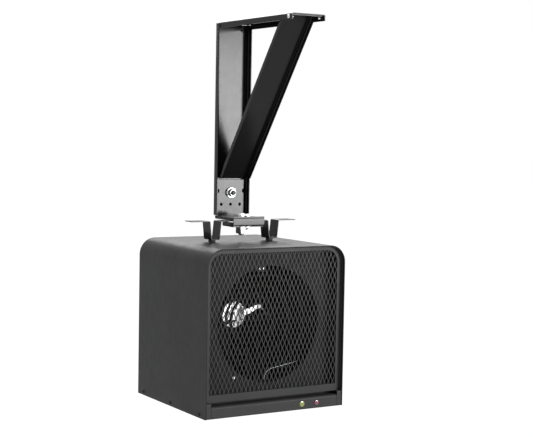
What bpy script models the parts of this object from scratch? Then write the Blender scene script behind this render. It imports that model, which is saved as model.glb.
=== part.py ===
"""Ceiling-hung fan heater: a sheet-metal box on a swivelling hanger and a folded-steel bracket.

Metres, +Z up. The origin lies on the bracket arm's ceiling face, straight above the swivel bolt.
-Y is the front, where the warm air leaves through the expanded-metal grille.
"""
import math

import bmesh
import bpy
from mathutils import Matrix, Vector

# Gauges and clearances
GAP = 0.0003
SKIN = 0.0012
PLATE = 0.0020

# Case
CASE_W = 0.346
CASE_D = 0.327
CASE_H = 0.3585
CORNER_R = 0.038
CASE_TOP = -0.4895
CASE_BOTTOM = CASE_TOP - CASE_H
FRONT_Y = -CASE_D / 2
BACK_Y = CASE_D / 2
AXIS_Z = CASE_BOTTOM + 0.1885

# Front: recessed frame with its window, air slot, control strip
PANEL_Y = FRONT_Y + 0.0105
PANEL_DEPTH = 0.012
FRAME_SIDE = 0.0125
FRAME_TOP = 0.0100
WINDOW_BOTTOM = CASE_BOTTOM + 0.049
FRAME_BOTTOM = CASE_BOTTOM + 0.033
STRIP_TOP = CASE_BOTTOM + 0.025
GRILLE_T = 0.0015
LENS_X = (0.0670, 0.1052)
LENS_Z = CASE_BOTTOM + 0.0130
LENS_R = (0.0062, 0.0052)

# Screws along the case's lower edges
SIDE_SCREW_Y = (-0.1352, 0.0, 0.1352)
SIDE_SCREW_Z = CASE_BOTTOM + 0.0075

# Wiring cover and its cable gland, on the back
COVER_X = (-0.150, -0.020)
COVER_Z = (CASE_BOTTOM + 0.0045, CASE_BOTTOM + 0.0325)
GLAND_X = -0.085
CABLE_R = 0.0085

# Air path
BAFFLE_Y = -0.128
ORIFICE_R = 0.1275
FLOOR_Z = CASE_BOTTOM + 0.036
INLET_R = 0.125

# Fan and motor
FAN_Y = 0.036
FAN_R = 0.118
HUB_R = 0.027
SHAFT_R = 0.0040
BORE_R = SHAFT_R + 0.00005
MOTOR_R = 0.044
MOTOR_Y0 = 0.062
MOTOR_Y1 = 0.126

# Finned heating rings: distance of each ring's plane, and its radius
TUBE_R = 0.0055
RINGS = ((-0.100, 0.104), (-0.078, 0.079), (-0.056, 0.054))
LEG_HALF_GAP = 0.014

# Bracket
ARM_HALF_W = 0.0405
ARM_FRONT = -0.2648
ARM_BACK = 0.0570
ARM_LIP = 0.013
COLUMN_HALF_W = 0.0380
COLUMN_BOTTOM = -0.4327
JOGGLE = 0.0025
COLUMN_STEP = 0.010
COLUMN_DEPTH = 0.020
BRACE_HALF_W = 0.0355
BRACE_DEPTH = 0.016
BRACE_STEP = 0.008
BRACE_LOW = (0.0468, -0.3496)
BRACE_HIGH = (-0.2126, -0.0026)
TONGUE_FRONT = -0.2600
TAB_BACK = -0.2410
TAB_BOTTOM = -0.0120
ARM_SCREW = (-0.2525, -0.0070)
LEVEL_Z = -0.3823

# Saddle, hanger strip and clamp
SADDLE_HALF_W = 0.0397
SADDLE_FRONT = -0.0352
SADDLE_TOP = -0.4345
SADDLE_LIP_BOTTOM = -0.4522
SADDLE_SKIRT_BOTTOM = -0.4406
UPSTAND_Y = 0.0500
UPSTAND_HALF_W = 0.0344
UPSTAND_TOP = -0.3530
HANGER_TOP = -0.4412
HANGER_HALF_D = 0.0173
HANGER_FOOT_Z = -0.4836
FOOT_X = 0.0742
CLAMP_BOTTOM = -0.4552
LOCK_X = 0.0152

FRONT_AXIS = Matrix.Rotation(math.radians(90), 4, "X")


def clear_scene():
    for obj in list(bpy.data.objects):
        bpy.data.objects.remove(obj, do_unlink=True)


def material(name, colour, roughness, metallic):
    mat = bpy.data.materials.new(name)
    mat.use_nodes = True
    shader = mat.node_tree.nodes["Principled BSDF"]
    shader.inputs["Base Color"].default_value = (*colour, 1.0)
    shader.inputs["Roughness"].default_value = roughness
    shader.inputs["Metallic"].default_value = metallic
    return mat


def empty(name, location, parent=None):
    obj = bpy.data.objects.new(name, None)
    bpy.context.scene.collection.objects.link(obj)
    obj.parent = parent
    obj.location = Vector(location) - world_origin(parent)
    return obj


def world_origin(obj):
    origin = Vector((0, 0, 0))
    while obj is not None:
        origin += obj.location
        obj = obj.parent
    return origin


def finish(name, bm, mat, origin=(0, 0, 0), parent=None):
    """Make a named object from bm, whose coordinates are measured from origin."""
    bmesh.ops.remove_doubles(bm, verts=bm.verts, dist=1e-6)
    bmesh.ops.recalc_face_normals(bm, faces=bm.faces)
    mesh = bpy.data.meshes.new(name)
    bm.to_mesh(mesh)
    bm.free()
    mesh.shade_smooth()
    mesh.set_sharp_from_angle(angle=math.radians(30))
    mesh.materials.append(mat)
    obj = bpy.data.objects.new(name, mesh)
    bpy.context.scene.collection.objects.link(obj)
    obj.parent = parent
    obj.location = Vector(origin) - world_origin(parent)
    return obj


def cut(obj, bm, operation="DIFFERENCE"):
    """Cut bm out of obj, or join it on with UNION. bm is in world coordinates."""
    bmesh.ops.recalc_face_normals(bm, faces=bm.faces)
    tool_mesh = bpy.data.meshes.new(obj.name + "_tool")
    bm.to_mesh(tool_mesh)
    bm.free()
    tool = bpy.data.objects.new(obj.name + "_tool", tool_mesh)
    bpy.context.scene.collection.objects.link(tool)
    tool.hide_render = True
    tool.display_type = "WIRE"
    modifier = obj.modifiers.new("boolean", "BOOLEAN")
    modifier.operation = operation
    modifier.solver = "EXACT"
    modifier.object = tool
    return obj


def prism(outline, axis, low, high, bm=None):
    """Extrude a closed 2-D outline along axis. Its points are the other two axes, in X, Y, Z order."""
    bm = bm or bmesh.new()
    index = "XYZ".index(axis)

    def place(point, along):
        coords = list(point)
        coords.insert(index, along)
        return Vector(coords)

    start = [bm.verts.new(place(p, low)) for p in outline]
    end = [bm.verts.new(place(p, high)) for p in outline]
    bm.faces.new(start)
    bm.faces.new(reversed(end))
    count = len(outline)
    for i in range(count):
        j = (i + 1) % count
        bm.faces.new((start[j], start[i], end[i], end[j]))
    bmesh.ops.recalc_face_normals(bm, faces=bm.faces)
    return bm


def block(low, high, bm=None):
    outline = [(low[0], low[1]), (high[0], low[1]), (high[0], high[1]), (low[0], high[1])]
    return prism(outline, "Z", low[2], high[2], bm)


def circle(radius, segments, centre=(0, 0), turn=0.0):
    step = 2 * math.pi / segments
    return [(centre[0] + radius * math.cos(turn + step * i), centre[1] + radius * math.sin(turn + step * i))
            for i in range(segments)]


def arc(centre, radius, start, end, segments):
    """Points along an arc, angles in degrees, both ends included."""
    angles = [math.radians(start + (end - start) * i / segments) for i in range(segments + 1)]
    return [(centre[0] + radius * math.cos(a), centre[1] + radius * math.sin(a)) for a in angles]


def rounded_top(half_w, bottom, top, radius, segments=6):
    """Rectangle in XZ with its two upper corners rounded."""
    right = arc((half_w - radius, top - radius), radius, 0, 90, segments)
    left = arc((-half_w + radius, top - radius), radius, 90, 180, segments)
    return [(half_w, bottom)] + right + left + [(-half_w, bottom)]


def slot_outline(half_length, radius, centre=(0, 0), segments=4):
    """Round-ended slot whose length runs along the first axis."""
    right = arc((centre[0] + half_length - radius, centre[1]), radius, -90, 90, segments)
    left = arc((centre[0] - half_length + radius, centre[1]), radius, 90, 270, segments)
    return right + left


def sheet(path, thickness):
    """Outline of a bent sheet: path is one face, and the other lies thickness to its left."""
    points = [Vector(p) for p in path]
    inner = []
    for i, point in enumerate(points):
        normals = []
        if i > 0:
            run = (point - points[i - 1]).normalized()
            normals.append(Vector((-run.y, run.x)))
        if i < len(points) - 1:
            run = (points[i + 1] - point).normalized()
            normals.append(Vector((-run.y, run.x)))
        mean = sum(normals, Vector((0, 0))).normalized()
        inner.append(point + mean * thickness / mean.dot(normals[0]))
    return [tuple(p) for p in points] + [tuple(p) for p in reversed(inner)]


def lathe(profile, segments, bm=None):
    """Turn a closed (radius, height) outline round the local Z axis. Radius 0 points close a solid."""
    bm = bm or bmesh.new()
    rings = []
    for radius, height in profile:
        if radius < 1e-9:
            rings.append([bm.verts.new((0, 0, height))] * segments)
        else:
            rings.append([bm.verts.new((x, y, height)) for x, y in circle(radius, segments)])
    count = len(rings)
    for k in range(count):
        low, high = rings[k], rings[(k + 1) % count]
        for i in range(segments):
            j = (i + 1) % segments
            corners = []
            for vert in (low[i], low[j], high[j], high[i]):
                if vert not in corners:
                    corners.append(vert)
            if len(corners) > 2:
                bm.faces.new(corners)
    return bm


def solid_of_revolution(name, profile, segments, mat, origin, parent, along_y=False):
    bm = lathe(profile, segments)
    if along_y:
        bm.transform(FRONT_AXIS)
    return finish(name, bm, mat, origin, parent)


def tube_profile(inner, outer, low, high):
    return [(inner, low), (outer, low), (outer, high), (inner, high)]


def ring_at(bm, radius, segments, height):
    return [bm.verts.new((x, y, height)) for x, y in circle(radius, segments)]


def join_rings(bm, low, high):
    count = len(low)
    for i in range(count):
        j = (i + 1) % count
        bm.faces.new((low[i], low[j], high[j], high[i]))


def join_hex_to_round(bm, hexagon, rim):
    """Flat face between a hexagon and the twelve-sided ring inside it."""
    for i in range(6):
        j = (i + 1) % 6
        first, middle, last = 2 * i, 2 * i + 1, (2 * i + 2) % 12
        bm.faces.new((hexagon[i], hexagon[j], rim[last], rim[middle], rim[first]))


def hex_bolt_mesh(head_r, head_h, shank_r, length):
    """Hex head above the local origin, shank below it."""
    bm = bmesh.new()
    under = ring_at(bm, head_r, 6, 0)
    shoulder = ring_at(bm, head_r, 6, head_h * 0.88)
    crown = ring_at(bm, head_r * 0.86, 6, head_h)
    shank = ring_at(bm, shank_r, 12, 0)
    end = ring_at(bm, shank_r, 12, 0.0006 - length)
    tip = ring_at(bm, shank_r * 0.85, 12, -length)
    join_rings(bm, under, shoulder)
    join_rings(bm, shoulder, crown)
    bm.faces.new(crown)
    join_hex_to_round(bm, under, shank)
    join_rings(bm, shank, end)
    join_rings(bm, end, tip)
    bm.faces.new(tip)
    return bm


def hex_nut_mesh(outer_r, bore_r, height):
    bm = bmesh.new()
    outer = [ring_at(bm, outer_r, 6, z) for z in (0, height)]
    inner = [ring_at(bm, bore_r, 12, z) for z in (0, height)]
    for hexagon, rim in zip(outer, inner):
        join_hex_to_round(bm, hexagon, rim)
    join_rings(bm, *outer)
    join_rings(bm, *inner)
    return bm


def pan_screw_profile(head_r, head_h, shank_r, length):
    """Domed head above the local origin, shank below it."""
    return [(0, -length), (shank_r, -length), (shank_r, 0), (head_r, 0),
            (head_r, head_h * 0.45), (head_r * 0.72, head_h * 0.88), (0, head_h)]


# ---------------------------------------------------------------- bracket

def joggled_section(half_w, depth, step, facing):
    """Channel outline with stepped flanges: (across, into the channel). facing is the flanges' sign."""
    mouth = half_w + JOGGLE
    face = [(mouth - PLATE, depth), (mouth - PLATE, step), (half_w - PLATE, step), (half_w - PLATE, PLATE)]
    back = [(half_w, 0), (half_w, step - PLATE), (mouth, step - PLATE), (mouth, depth)]
    right = back + face
    left = [(-x, y) for x, y in reversed(right)]
    return [(x, facing * y) for x, y in right + left]


def make_arm(paint):
    lip = [(-ARM_HALF_W, -ARM_LIP), (-ARM_HALF_W, 0), (ARM_HALF_W, 0), (ARM_HALF_W, -ARM_LIP),
           (ARM_HALF_W - PLATE, -ARM_LIP), (ARM_HALF_W - PLATE, -PLATE),
           (-ARM_HALF_W + PLATE, -PLATE), (-ARM_HALF_W + PLATE, -ARM_LIP)]
    arm = finish("arm", prism(lip, "Y", ARM_FRONT, ARM_BACK), paint)
    column_front = ARM_BACK - COLUMN_DEPTH
    trim = block((-0.05, column_front - 2 * GAP, -0.03), (0.05, ARM_BACK + 0.01, -PLATE))
    cut(arm, trim)
    holes = bmesh.new()
    for y in (-0.190, 0.020):
        prism(slot_outline(0.016, 0.0035, (0, y)), "Z", -0.01, 0.01, holes)
    for x in (-0.022, 0.022):
        prism(circle(0.0035, 10, (x, -0.100)), "Z", -0.01, 0.01, holes)
    prism(circle(0.0024, 8, ARM_SCREW), "X", -0.06, 0.06, holes)
    return cut(arm, holes)


def make_column(paint):
    section = joggled_section(COLUMN_HALF_W, COLUMN_DEPTH, COLUMN_STEP, -1)
    bm = prism([(x, ARM_BACK + y) for x, y in section], "Z", COLUMN_BOTTOM, -PLATE - GAP)
    column = finish("column", bm, paint)
    return cut(column, prism(circle(0.0055, 12, (0, LEVEL_Z)), "Y", ARM_BACK - 0.008, ARM_BACK + 0.01))


def make_brace(paint):
    """Stepped channel from the column to the arm's nose, where its tongue has a tab on either side."""
    low, high = Vector(BRACE_LOW), Vector(BRACE_HIGH)
    along = (high - low).normalized()
    out = Vector((-along.y, along.x))
    if out.x > 0:
        out = -out
    section = joggled_section(BRACE_HALF_W, BRACE_DEPTH, BRACE_STEP, 1)
    ends = (low - along * 0.04, high + along * 0.04)
    bm = bmesh.new()
    rings = []
    for end in ends:
        ring = [bm.verts.new((x, *(end + out * y))) for x, y in section]
        rings.append(ring)
    bm.faces.new(rings[0])
    bm.faces.new(reversed(rings[1]))
    count = len(section)
    for i in range(count):
        j = (i + 1) % count
        bm.faces.new((rings[0][j], rings[0][i], rings[1][i], rings[1][j]))
    brace = finish("brace", bm, paint)
    top = -PLATE - GAP
    tongue_back = high.x - 0.004
    reach = ARM_HALF_W - PLATE - GAP
    cut(brace, block((-reach, TONGUE_FRONT, top - PLATE), (reach, tongue_back, top)), "UNION")
    for side in (-1, 1):
        low_x, high_x = sorted((side * (reach - PLATE), side * reach))
        cut(brace, block((low_x, TONGUE_FRONT, TAB_BOTTOM), (high_x, TAB_BACK, top - PLATE / 2)), "UNION")
    trims = block((-0.06, -0.33, top), (0.06, 0.1, 0.06))
    block((-0.06, ARM_BACK - PLATE - GAP, -0.45), (0.06, 0.12, 0.0), trims)
    block((-0.06, 0.0, -0.46), (0.06, 0.12, BRACE_LOW[1]), trims)
    cut(brace, trims)
    sides = bmesh.new()
    clear_y = ARM_BACK - COLUMN_STEP - GAP
    for side in (-1, 1):
        low_x, high_x = sorted((side * (BRACE_HALF_W + 0.0002), side * 0.06))
        block((low_x, clear_y, -0.46), (high_x, 0.12, 0.01), sides)
    cut(brace, sides)
    return cut(brace, prism(circle(0.0024, 8, ARM_SCREW), "X", -0.06, 0.06))


def make_brace_screws(zinc):
    """Screws through the arm's sides into the tongue's tabs."""
    for side, name in ((-1, "left"), (1, "right")):
        bm = lathe(pan_screw_profile(0.0044, 0.0026, 0.0021, 0.0095), 10)
        bm.transform(Matrix.Rotation(math.radians(90) * side, 4, "Y"))
        finish("brace_screw_" + name, bm, zinc, (side * (ARM_HALF_W + GAP), *ARM_SCREW))


def make_level_bolt(zinc):
    """Bolt through column and saddle, head at the back, washer and nut at the front."""
    back = ARM_BACK + GAP
    bolt = hex_bolt_mesh(0.0098, 0.0062, 0.0048, back - UPSTAND_Y + PLATE + 0.0150)
    bolt.transform(Matrix.Rotation(math.radians(-90), 4, "X"))
    finish("level_bolt", bolt, zinc, (0, back, LEVEL_Z))
    front = UPSTAND_Y - PLATE - GAP
    solid_of_revolution("level_washer", tube_profile(0.0051, 0.0125, 0, 0.0016), 24, zinc, (0, front, LEVEL_Z),
                        None, along_y=True)
    nut = hex_nut_mesh(0.0092, 0.0051, 0.0078)
    nut.transform(FRONT_AXIS)
    finish("level_nut", nut, zinc, (0, front - 0.0016 - GAP, LEVEL_Z))


# ---------------------------------------------------------------- saddle

def make_saddle(paint, frame):
    """Bent plate: lip at the front, shallow skirts at the sides, upstand inside the column's foot."""
    side = [(SADDLE_FRONT + 0.004, SADDLE_LIP_BOTTOM), (SADDLE_FRONT, SADDLE_LIP_BOTTOM),
            (SADDLE_FRONT, SADDLE_TOP), (UPSTAND_Y, SADDLE_TOP)]
    bm = prism(sheet(side, -PLATE), "X", -SADDLE_HALF_W, SADDLE_HALF_W)
    saddle = finish("saddle", bm, paint, parent=frame)
    for side in (-1, 1):
        low_x, high_x = sorted((side * (SADDLE_HALF_W - PLATE), side * SADDLE_HALF_W))
        skirt = ((low_x, SADDLE_FRONT + PLATE / 2, SADDLE_SKIRT_BOTTOM), (high_x, UPSTAND_Y, SADDLE_TOP - PLATE / 2))
        cut(saddle, block(*skirt), "UNION")
    notch = 0.0042
    half = UPSTAND_HALF_W
    upstand = [(-half, SADDLE_TOP - PLATE / 2), (half, SADDLE_TOP - PLATE / 2)]
    upstand += [(half, LEVEL_Z - notch + 0.004)] + arc((half, LEVEL_Z + 0.004), notch, -90, -270, 6)
    upstand += [(half, UPSTAND_TOP), (-half, UPSTAND_TOP)]
    upstand += arc((-half, LEVEL_Z + 0.004), notch, 90, -90, 6)
    cut(saddle, prism(upstand, "Y", UPSTAND_Y - PLATE, UPSTAND_Y), "UNION")
    holes = bmesh.new()
    prism(circle(0.0051, 12, (0, LEVEL_Z)), "Y", UPSTAND_Y - 0.01, UPSTAND_Y + 0.01, holes)
    for x in (-0.024, 0, 0.024):
        prism(circle(0.0030, 8, (x, LEVEL_Z - 0.0265)), "Y", UPSTAND_Y - 0.01, UPSTAND_Y + 0.01, holes)
    prism(circle(0.0052, 12, (0, 0)), "Z", SADDLE_TOP - 0.01, SADDLE_TOP + 0.01, holes)
    prism(circle(0.0032, 10, (LOCK_X, 0)), "Z", SADDLE_TOP - 0.01, SADDLE_TOP + 0.01, holes)
    return cut(saddle, holes)


def make_clamp(paint, frame):
    """Shallow tray under the hanger strip, with a stop tongue bent down beside the swivel nut."""
    half_w = 0.0387
    wall_top = HANGER_TOP - PLATE - 0.0012
    path = [(-half_w, wall_top), (-half_w, CLAMP_BOTTOM), (half_w, CLAMP_BOTTOM), (half_w, wall_top)]
    bm = prism([(x, z) for x, z in sheet(path, PLATE)], "Y", -HANGER_HALF_D, HANGER_HALF_D)
    clamp = finish("clamp_plate", bm, paint, parent=frame)
    front = block((-0.036, -0.0310, CLAMP_BOTTOM), (0.036, -HANGER_HALF_D + 0.001, CLAMP_BOTTOM + PLATE))
    cut(clamp, front, "UNION")
    tongue = block((-0.0119, -0.0168, CLAMP_BOTTOM - 0.0160), (-0.0099, 0.0032, CLAMP_BOTTOM + 0.001))
    cut(clamp, tongue, "UNION")
    holes = prism(circle(0.0052, 12), "Z", CLAMP_BOTTOM - 0.01, CLAMP_BOTTOM + 0.008)
    prism(circle(0.0032, 10, (LOCK_X, 0)), "Z", CLAMP_BOTTOM - 0.01, CLAMP_BOTTOM + 0.008, holes)
    return cut(clamp, holes)


def make_swivel_hardware(zinc, frame):
    top = SADDLE_TOP + GAP
    washer = tube_profile(0.0051, 0.0086, 0, 0.0016)
    solid_of_revolution("swivel_washer", washer, 20, zinc, (0, 0, top), frame)
    bolt = hex_bolt_mesh(0.0079, 0.0060, 0.0047, 0.0430)
    finish("swivel_bolt", bolt, zinc, (0, 0, top + 0.0016 + GAP), frame)
    nut_top = CLAMP_BOTTOM - GAP
    finish("swivel_nut", hex_nut_mesh(0.0088, 0.0051, 0.0110), zinc, (0, 0, nut_top - 0.0110), frame)
    lock = hex_bolt_mesh(0.0060, 0.0060, 0.0028, 0.0300)
    finish("lock_bolt", lock, zinc, (LOCK_X, 0, top), frame)
    finish("lock_nut", hex_nut_mesh(0.0054, 0.0031, 0.0042), zinc, (LOCK_X, 0, nut_top - 0.0042), frame)


# ---------------------------------------------------------------- hanger strip

def make_hanger(paint, frame):
    """Strip folded into two feet that stand on the case, with a raised middle and raised ends."""
    foot_out, foot_in = FOOT_X + 0.0090, FOOT_X - 0.0090
    top_out, top_in, tip = FOOT_X + 0.0134, FOOT_X - 0.0132, 0.1331
    right = [(top_in, HANGER_TOP), (foot_in, HANGER_FOOT_Z + PLATE), (foot_out, HANGER_FOOT_Z + PLATE),
             (top_out, HANGER_TOP), (tip, HANGER_TOP)]
    path = [(-x, z) for x, z in reversed(right)] + right
    outline = sheet(path, -PLATE)
    hanger = finish("hanger_strip", prism(outline, "Y", -HANGER_HALF_D, HANGER_HALF_D), paint, parent=frame)
    low, high = HANGER_TOP - 0.01, HANGER_TOP + 0.01
    holes = prism(circle(0.0053, 12), "Z", low, high)
    sweep = 31.5
    outer = arc((0, 0), LOCK_X + 0.0033, -sweep, sweep, 6)
    inner = arc((0, 0), LOCK_X - 0.0033, sweep, -sweep, 6)
    prism(outer + inner, "Z", low, high, holes)
    for side in (-1, 1):
        prism(circle(0.0030, 10, (side * FOOT_X, 0)), "Z", HANGER_FOOT_Z - 0.01, HANGER_FOOT_Z + 0.01, holes)
        prism(slot_outline(0.010, 0.003, (side * 0.112, 0)), "Z", low, high, holes)
    return cut(hanger, holes)


def make_hanger_feet(zinc, rubber, frame):
    for side, name in ((-1, "left"), (1, "right")):
        x = side * FOOT_X
        spacer = tube_profile(0.0032, 0.0080, CASE_TOP + GAP, HANGER_FOOT_Z - GAP)
        solid_of_revolution("spacer_" + name, spacer, 16, rubber, (x, 0, 0), frame)
        head_z = HANGER_FOOT_Z + PLATE + GAP
        profile = pan_screw_profile(0.0055, 0.0038, 0.0026, 0.0200)
        solid_of_revolution("hanger_screw_" + name, profile, 12, zinc, (x, 0, head_z), frame)


# ---------------------------------------------------------------- case

def make_wrap(paint, frame):
    """One folded sheet: left side, rounded corners, top and right side."""
    half = CASE_W / 2
    outer = rounded_top(half, CASE_BOTTOM, CASE_TOP, CORNER_R, 8)
    inner = rounded_top(half - SKIN, CASE_BOTTOM, CASE_TOP - SKIN, CORNER_R - SKIN, 8)
    wrap = finish("wrap", prism(outer + list(reversed(inner)), "Y", FRONT_Y, BACK_Y), paint, parent=frame)
    holes = bmesh.new()
    for side in (-1, 1):
        prism(circle(0.0030, 10, (side * FOOT_X, 0)), "Z", CASE_TOP - 0.01, CASE_TOP + 0.01, holes)
    for y in SIDE_SCREW_Y:
        prism(circle(0.0023, 8, (y, SIDE_SCREW_Z)), "X", -CASE_W, CASE_W, holes)
    return cut(wrap, holes)


def make_base(paint, frame):
    half = CASE_W / 2 - SKIN - GAP
    path = [(-half, CASE_BOTTOM + 0.018), (-half, CASE_BOTTOM), (half, CASE_BOTTOM), (half, CASE_BOTTOM + 0.018)]
    bm = prism(sheet(path, SKIN), "Y", FRONT_Y + 0.0030, BACK_Y - 0.0040 - SKIN - GAP)
    base = finish("base_panel", bm, paint, parent=frame)
    holes = bmesh.new()
    for y in SIDE_SCREW_Y:
        prism(circle(0.0023, 8, (y, SIDE_SCREW_Z)), "X", -CASE_W, CASE_W, holes)
    return cut(base, holes)


def make_side_screws(paint, frame):
    for side, name in ((-1, "left"), (1, "right")):
        turn = Matrix.Rotation(math.radians(90) * side, 4, "Y")
        for i, y in enumerate(SIDE_SCREW_Y):
            bm = lathe(pan_screw_profile(0.0040, 0.0024, 0.0019, 0.0080), 10)
            bm.transform(turn)
            x = side * (CASE_W / 2 + 0.0001)
            finish(f"side_screw_{name}_{i + 1}", bm, paint, (x, y, SIDE_SCREW_Z), frame)


def make_front_frame(paint, frame):
    """Pan with rounded top corners, its rim turned back, and the window for the grille."""
    half = CASE_W / 2 - SKIN - GAP
    top = CASE_TOP - SKIN - GAP
    radius = CORNER_R - SKIN - GAP
    bm = prism(rounded_top(half, FRAME_BOTTOM, top, radius), "Y", PANEL_Y, PANEL_Y + PANEL_DEPTH)
    pan = finish("front_frame", bm, paint, parent=frame)
    hollow = rounded_top(half - SKIN, FRAME_BOTTOM + SKIN, top - SKIN, radius - SKIN)
    cut(pan, prism(hollow, "Y", PANEL_Y + SKIN, PANEL_Y + 0.05))
    window = rounded_top(half - FRAME_SIDE, WINDOW_BOTTOM, top - FRAME_TOP, radius - FRAME_TOP, 4)
    return cut(pan, prism(window, "Y", PANEL_Y - 0.01, PANEL_Y + 0.05))


def make_grille(paint, frame):
    """Sheet behind the frame, pierced by staggered tall diamonds."""
    half = CASE_W / 2 - 2 * SKIN - 3 * GAP
    top = CASE_TOP - 2 * SKIN - 3 * GAP
    low_y = PANEL_Y + SKIN + GAP
    outline = rounded_top(half, WINDOW_BOTTOM - 0.006, top, CORNER_R - 2 * SKIN - 3 * GAP, 5)
    grille = finish("grille", prism(outline, "Y", low_y, low_y + GRILLE_T), paint, parent=frame)
    columns, rows = 9, 4
    pitch_x = (CASE_W - 0.036) / columns
    pitch_z = (top - FRAME_TOP - WINDOW_BOTTOM) / rows
    strand = 0.0042
    half_x, half_z = pitch_x / 2 - strand / 2, pitch_z / 2 - strand
    holes = bmesh.new()
    for row in range(2 * rows - 1):
        staggered = row % 2
        for column in range(columns - staggered):
            x = (column - (columns - 1 - staggered) / 2) * pitch_x
            z = WINDOW_BOTTOM + (row / 2 + 0.5) * pitch_z
            diamond = [(x - half_x, z), (x, z - half_z), (x + half_x, z), (x, z + half_z)]
            corner = Vector((abs(x) + half_x, z + half_z))
            if corner.x > half - 0.006 and corner.y > top - CORNER_R + 0.012:
                continue
            prism(diamond, "Y", low_y - 0.004, low_y + 0.006, holes)
    return cut(grille, holes)


def make_control_strip(paint, frame):
    """Folded strip under the grille: its face stands forward of the frame, its top turns back."""
    half = CASE_W / 2 - SKIN - GAP
    low = CASE_BOTTOM + SKIN + GAP
    face_y = FRONT_Y + 0.0010
    path = [(face_y, low), (face_y, STRIP_TOP), (PANEL_Y + 0.018, STRIP_TOP), (PANEL_Y + 0.018, FRAME_BOTTOM + 0.010)]
    reach = SKIN + GAP
    strip = finish("control_strip", prism(sheet(path, -SKIN), "X", -half + reach, half - reach), paint, parent=frame)
    holes = bmesh.new()
    for x, radius in zip(LENS_X, LENS_R):
        prism(circle(radius - 0.0012, 16, (x, LENS_Z)), "Y", face_y - 0.01, face_y + 0.01, holes)
    return cut(strip, holes)


def make_lenses(colours, frame):
    face_y = FRONT_Y + 0.0010 - 0.0001
    for (name, mat), x, radius in zip(colours, LENS_X, LENS_R):
        neck = radius - 0.0015
        profile = [(0, -0.0120), (neck, -0.0120), (neck, 0), (radius, 0), (radius, 0.0004),
                   (radius * 0.7, 0.0008), (0, 0.0009)]
        solid_of_revolution(name, profile, 16, mat, (x, face_y, LENS_Z), frame, along_y=True)


def make_baffle(paint, frame):
    half = CASE_W / 2 - SKIN - GAP
    outline = rounded_top(half, FLOOR_Z + GAP, CASE_TOP - SKIN - GAP, CORNER_R - SKIN - GAP)
    baffle = finish("baffle", prism(outline, "Y", BAFFLE_Y, BAFFLE_Y + SKIN), paint, parent=frame)
    collar = [(ORIFICE_R + SKIN, -0.008), (ORIFICE_R + SKIN, 0.0006), (ORIFICE_R - 0.001, 0.0006),
              (ORIFICE_R - 0.001, -0.008)]
    ring = lathe(collar, 36)
    ring.transform(Matrix.Translation((0, BAFFLE_Y + SKIN / 2, AXIS_Z)) @ FRONT_AXIS)
    cut(baffle, ring, "UNION")
    return cut(baffle, prism(circle(ORIFICE_R, 36, (0, AXIS_Z)), "Y", BAFFLE_Y - 0.01, BAFFLE_Y + 0.03))


def make_back(paint, frame):
    half = CASE_W / 2 - SKIN - GAP
    top = CASE_TOP - SKIN - GAP
    y = BACK_Y - 0.0040
    outline = rounded_top(half, CASE_BOTTOM + SKIN + GAP, top, CORNER_R - SKIN - GAP)
    back = finish("back_panel", prism(outline, "Y", y - SKIN, y), paint, parent=frame)
    holes = prism(circle(INLET_R, 36, (0, AXIS_Z)), "Y", y - 0.02, y + 0.02)
    wiring = [(COVER_X[0] + 0.008, COVER_Z[0] + 0.004), (COVER_X[1] - 0.008, COVER_Z[0] + 0.004),
              (COVER_X[1] - 0.008, COVER_Z[1] - 0.004), (COVER_X[0] + 0.008, COVER_Z[1] - 0.004)]
    prism(wiring, "Y", y - 0.02, y + 0.02, holes)
    return cut(back, holes)


def make_guard(paint, frame):
    """Rear finger guard: concentric flat rings on eight spokes, screwed behind the inlet."""
    y = BACK_Y - 0.0040 - SKIN - GAP
    bm = prism(circle(INLET_R + 0.008, 36, (0, AXIS_Z)), "Y", y - 0.0015, y)
    guard = finish("rear_guard", bm, paint, parent=frame)
    holes = bmesh.new()
    spoke = 0.0022
    for inner, outer in ((0.030, 0.051), (0.054, 0.075), (0.078, 0.099), (0.102, 0.122)):
        for k in range(8):
            centre = math.radians(45 * k)
            pad_in, pad_out = spoke / inner, spoke / outer
            half = math.radians(22.5)
            span = [math.degrees(v) for v in (centre - half + pad_out, centre + half - pad_out)]
            back = [math.degrees(v) for v in (centre + half - pad_in, centre - half + pad_in)]
            outline = arc((0, AXIS_Z), outer, *span, 4) + arc((0, AXIS_Z), inner, *back, 4)
            prism(outline, "Y", y - 0.006, y + 0.004, holes)
    return cut(guard, holes)


def make_wiring_cover(paint, zinc, frame):
    y = BACK_Y - 0.0040 + GAP
    low = (COVER_X[0], y, COVER_Z[0])
    high = (COVER_X[1], y + SKIN, COVER_Z[1])
    cover = finish("wiring_cover", block(low, high), paint, parent=frame)
    middle = sum(COVER_Z) / 2
    cut(cover, prism(circle(CABLE_R + 0.0015, 16, (GLAND_X, middle)), "Y", y - 0.01, y + 0.01))
    ring = [(CABLE_R - 0.0020, -0.0110), (CABLE_R + 0.0010, -0.0110), (CABLE_R + 0.0010, GAP + SKIN),
            (CABLE_R + 0.0035, GAP + SKIN), (CABLE_R + 0.0035, 0.0034), (CABLE_R - 0.0020, 0.0034)]
    bm = lathe([(r, h) for r, h in ring], 16)
    bm.transform(Matrix.Rotation(math.radians(-90), 4, "X"))
    finish("cable_gland", bm, zinc, (GLAND_X, y, middle), frame)


# ---------------------------------------------------------------- heat

def make_chamber_floor(paint, frame):
    """Shelf between the air path and the wiring space."""
    half = CASE_W / 2 - SKIN - GAP
    front = PANEL_Y + 0.018 + SKIN + GAP
    low = (-half, front, FLOOR_Z - SKIN)
    high = (half, BACK_Y - 0.0040 - SKIN - GAP - 0.0020, FLOOR_Z)
    floor = finish("chamber_floor", block(low, high), paint, parent=frame)
    reach = LEG_HALF_GAP + 0.0078
    window = block((-reach, RINGS[0][0] - 0.0092, FLOOR_Z - 0.01), (reach, RINGS[-1][0] + 0.0092, FLOOR_Z + 0.01))
    return cut(floor, window)


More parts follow.
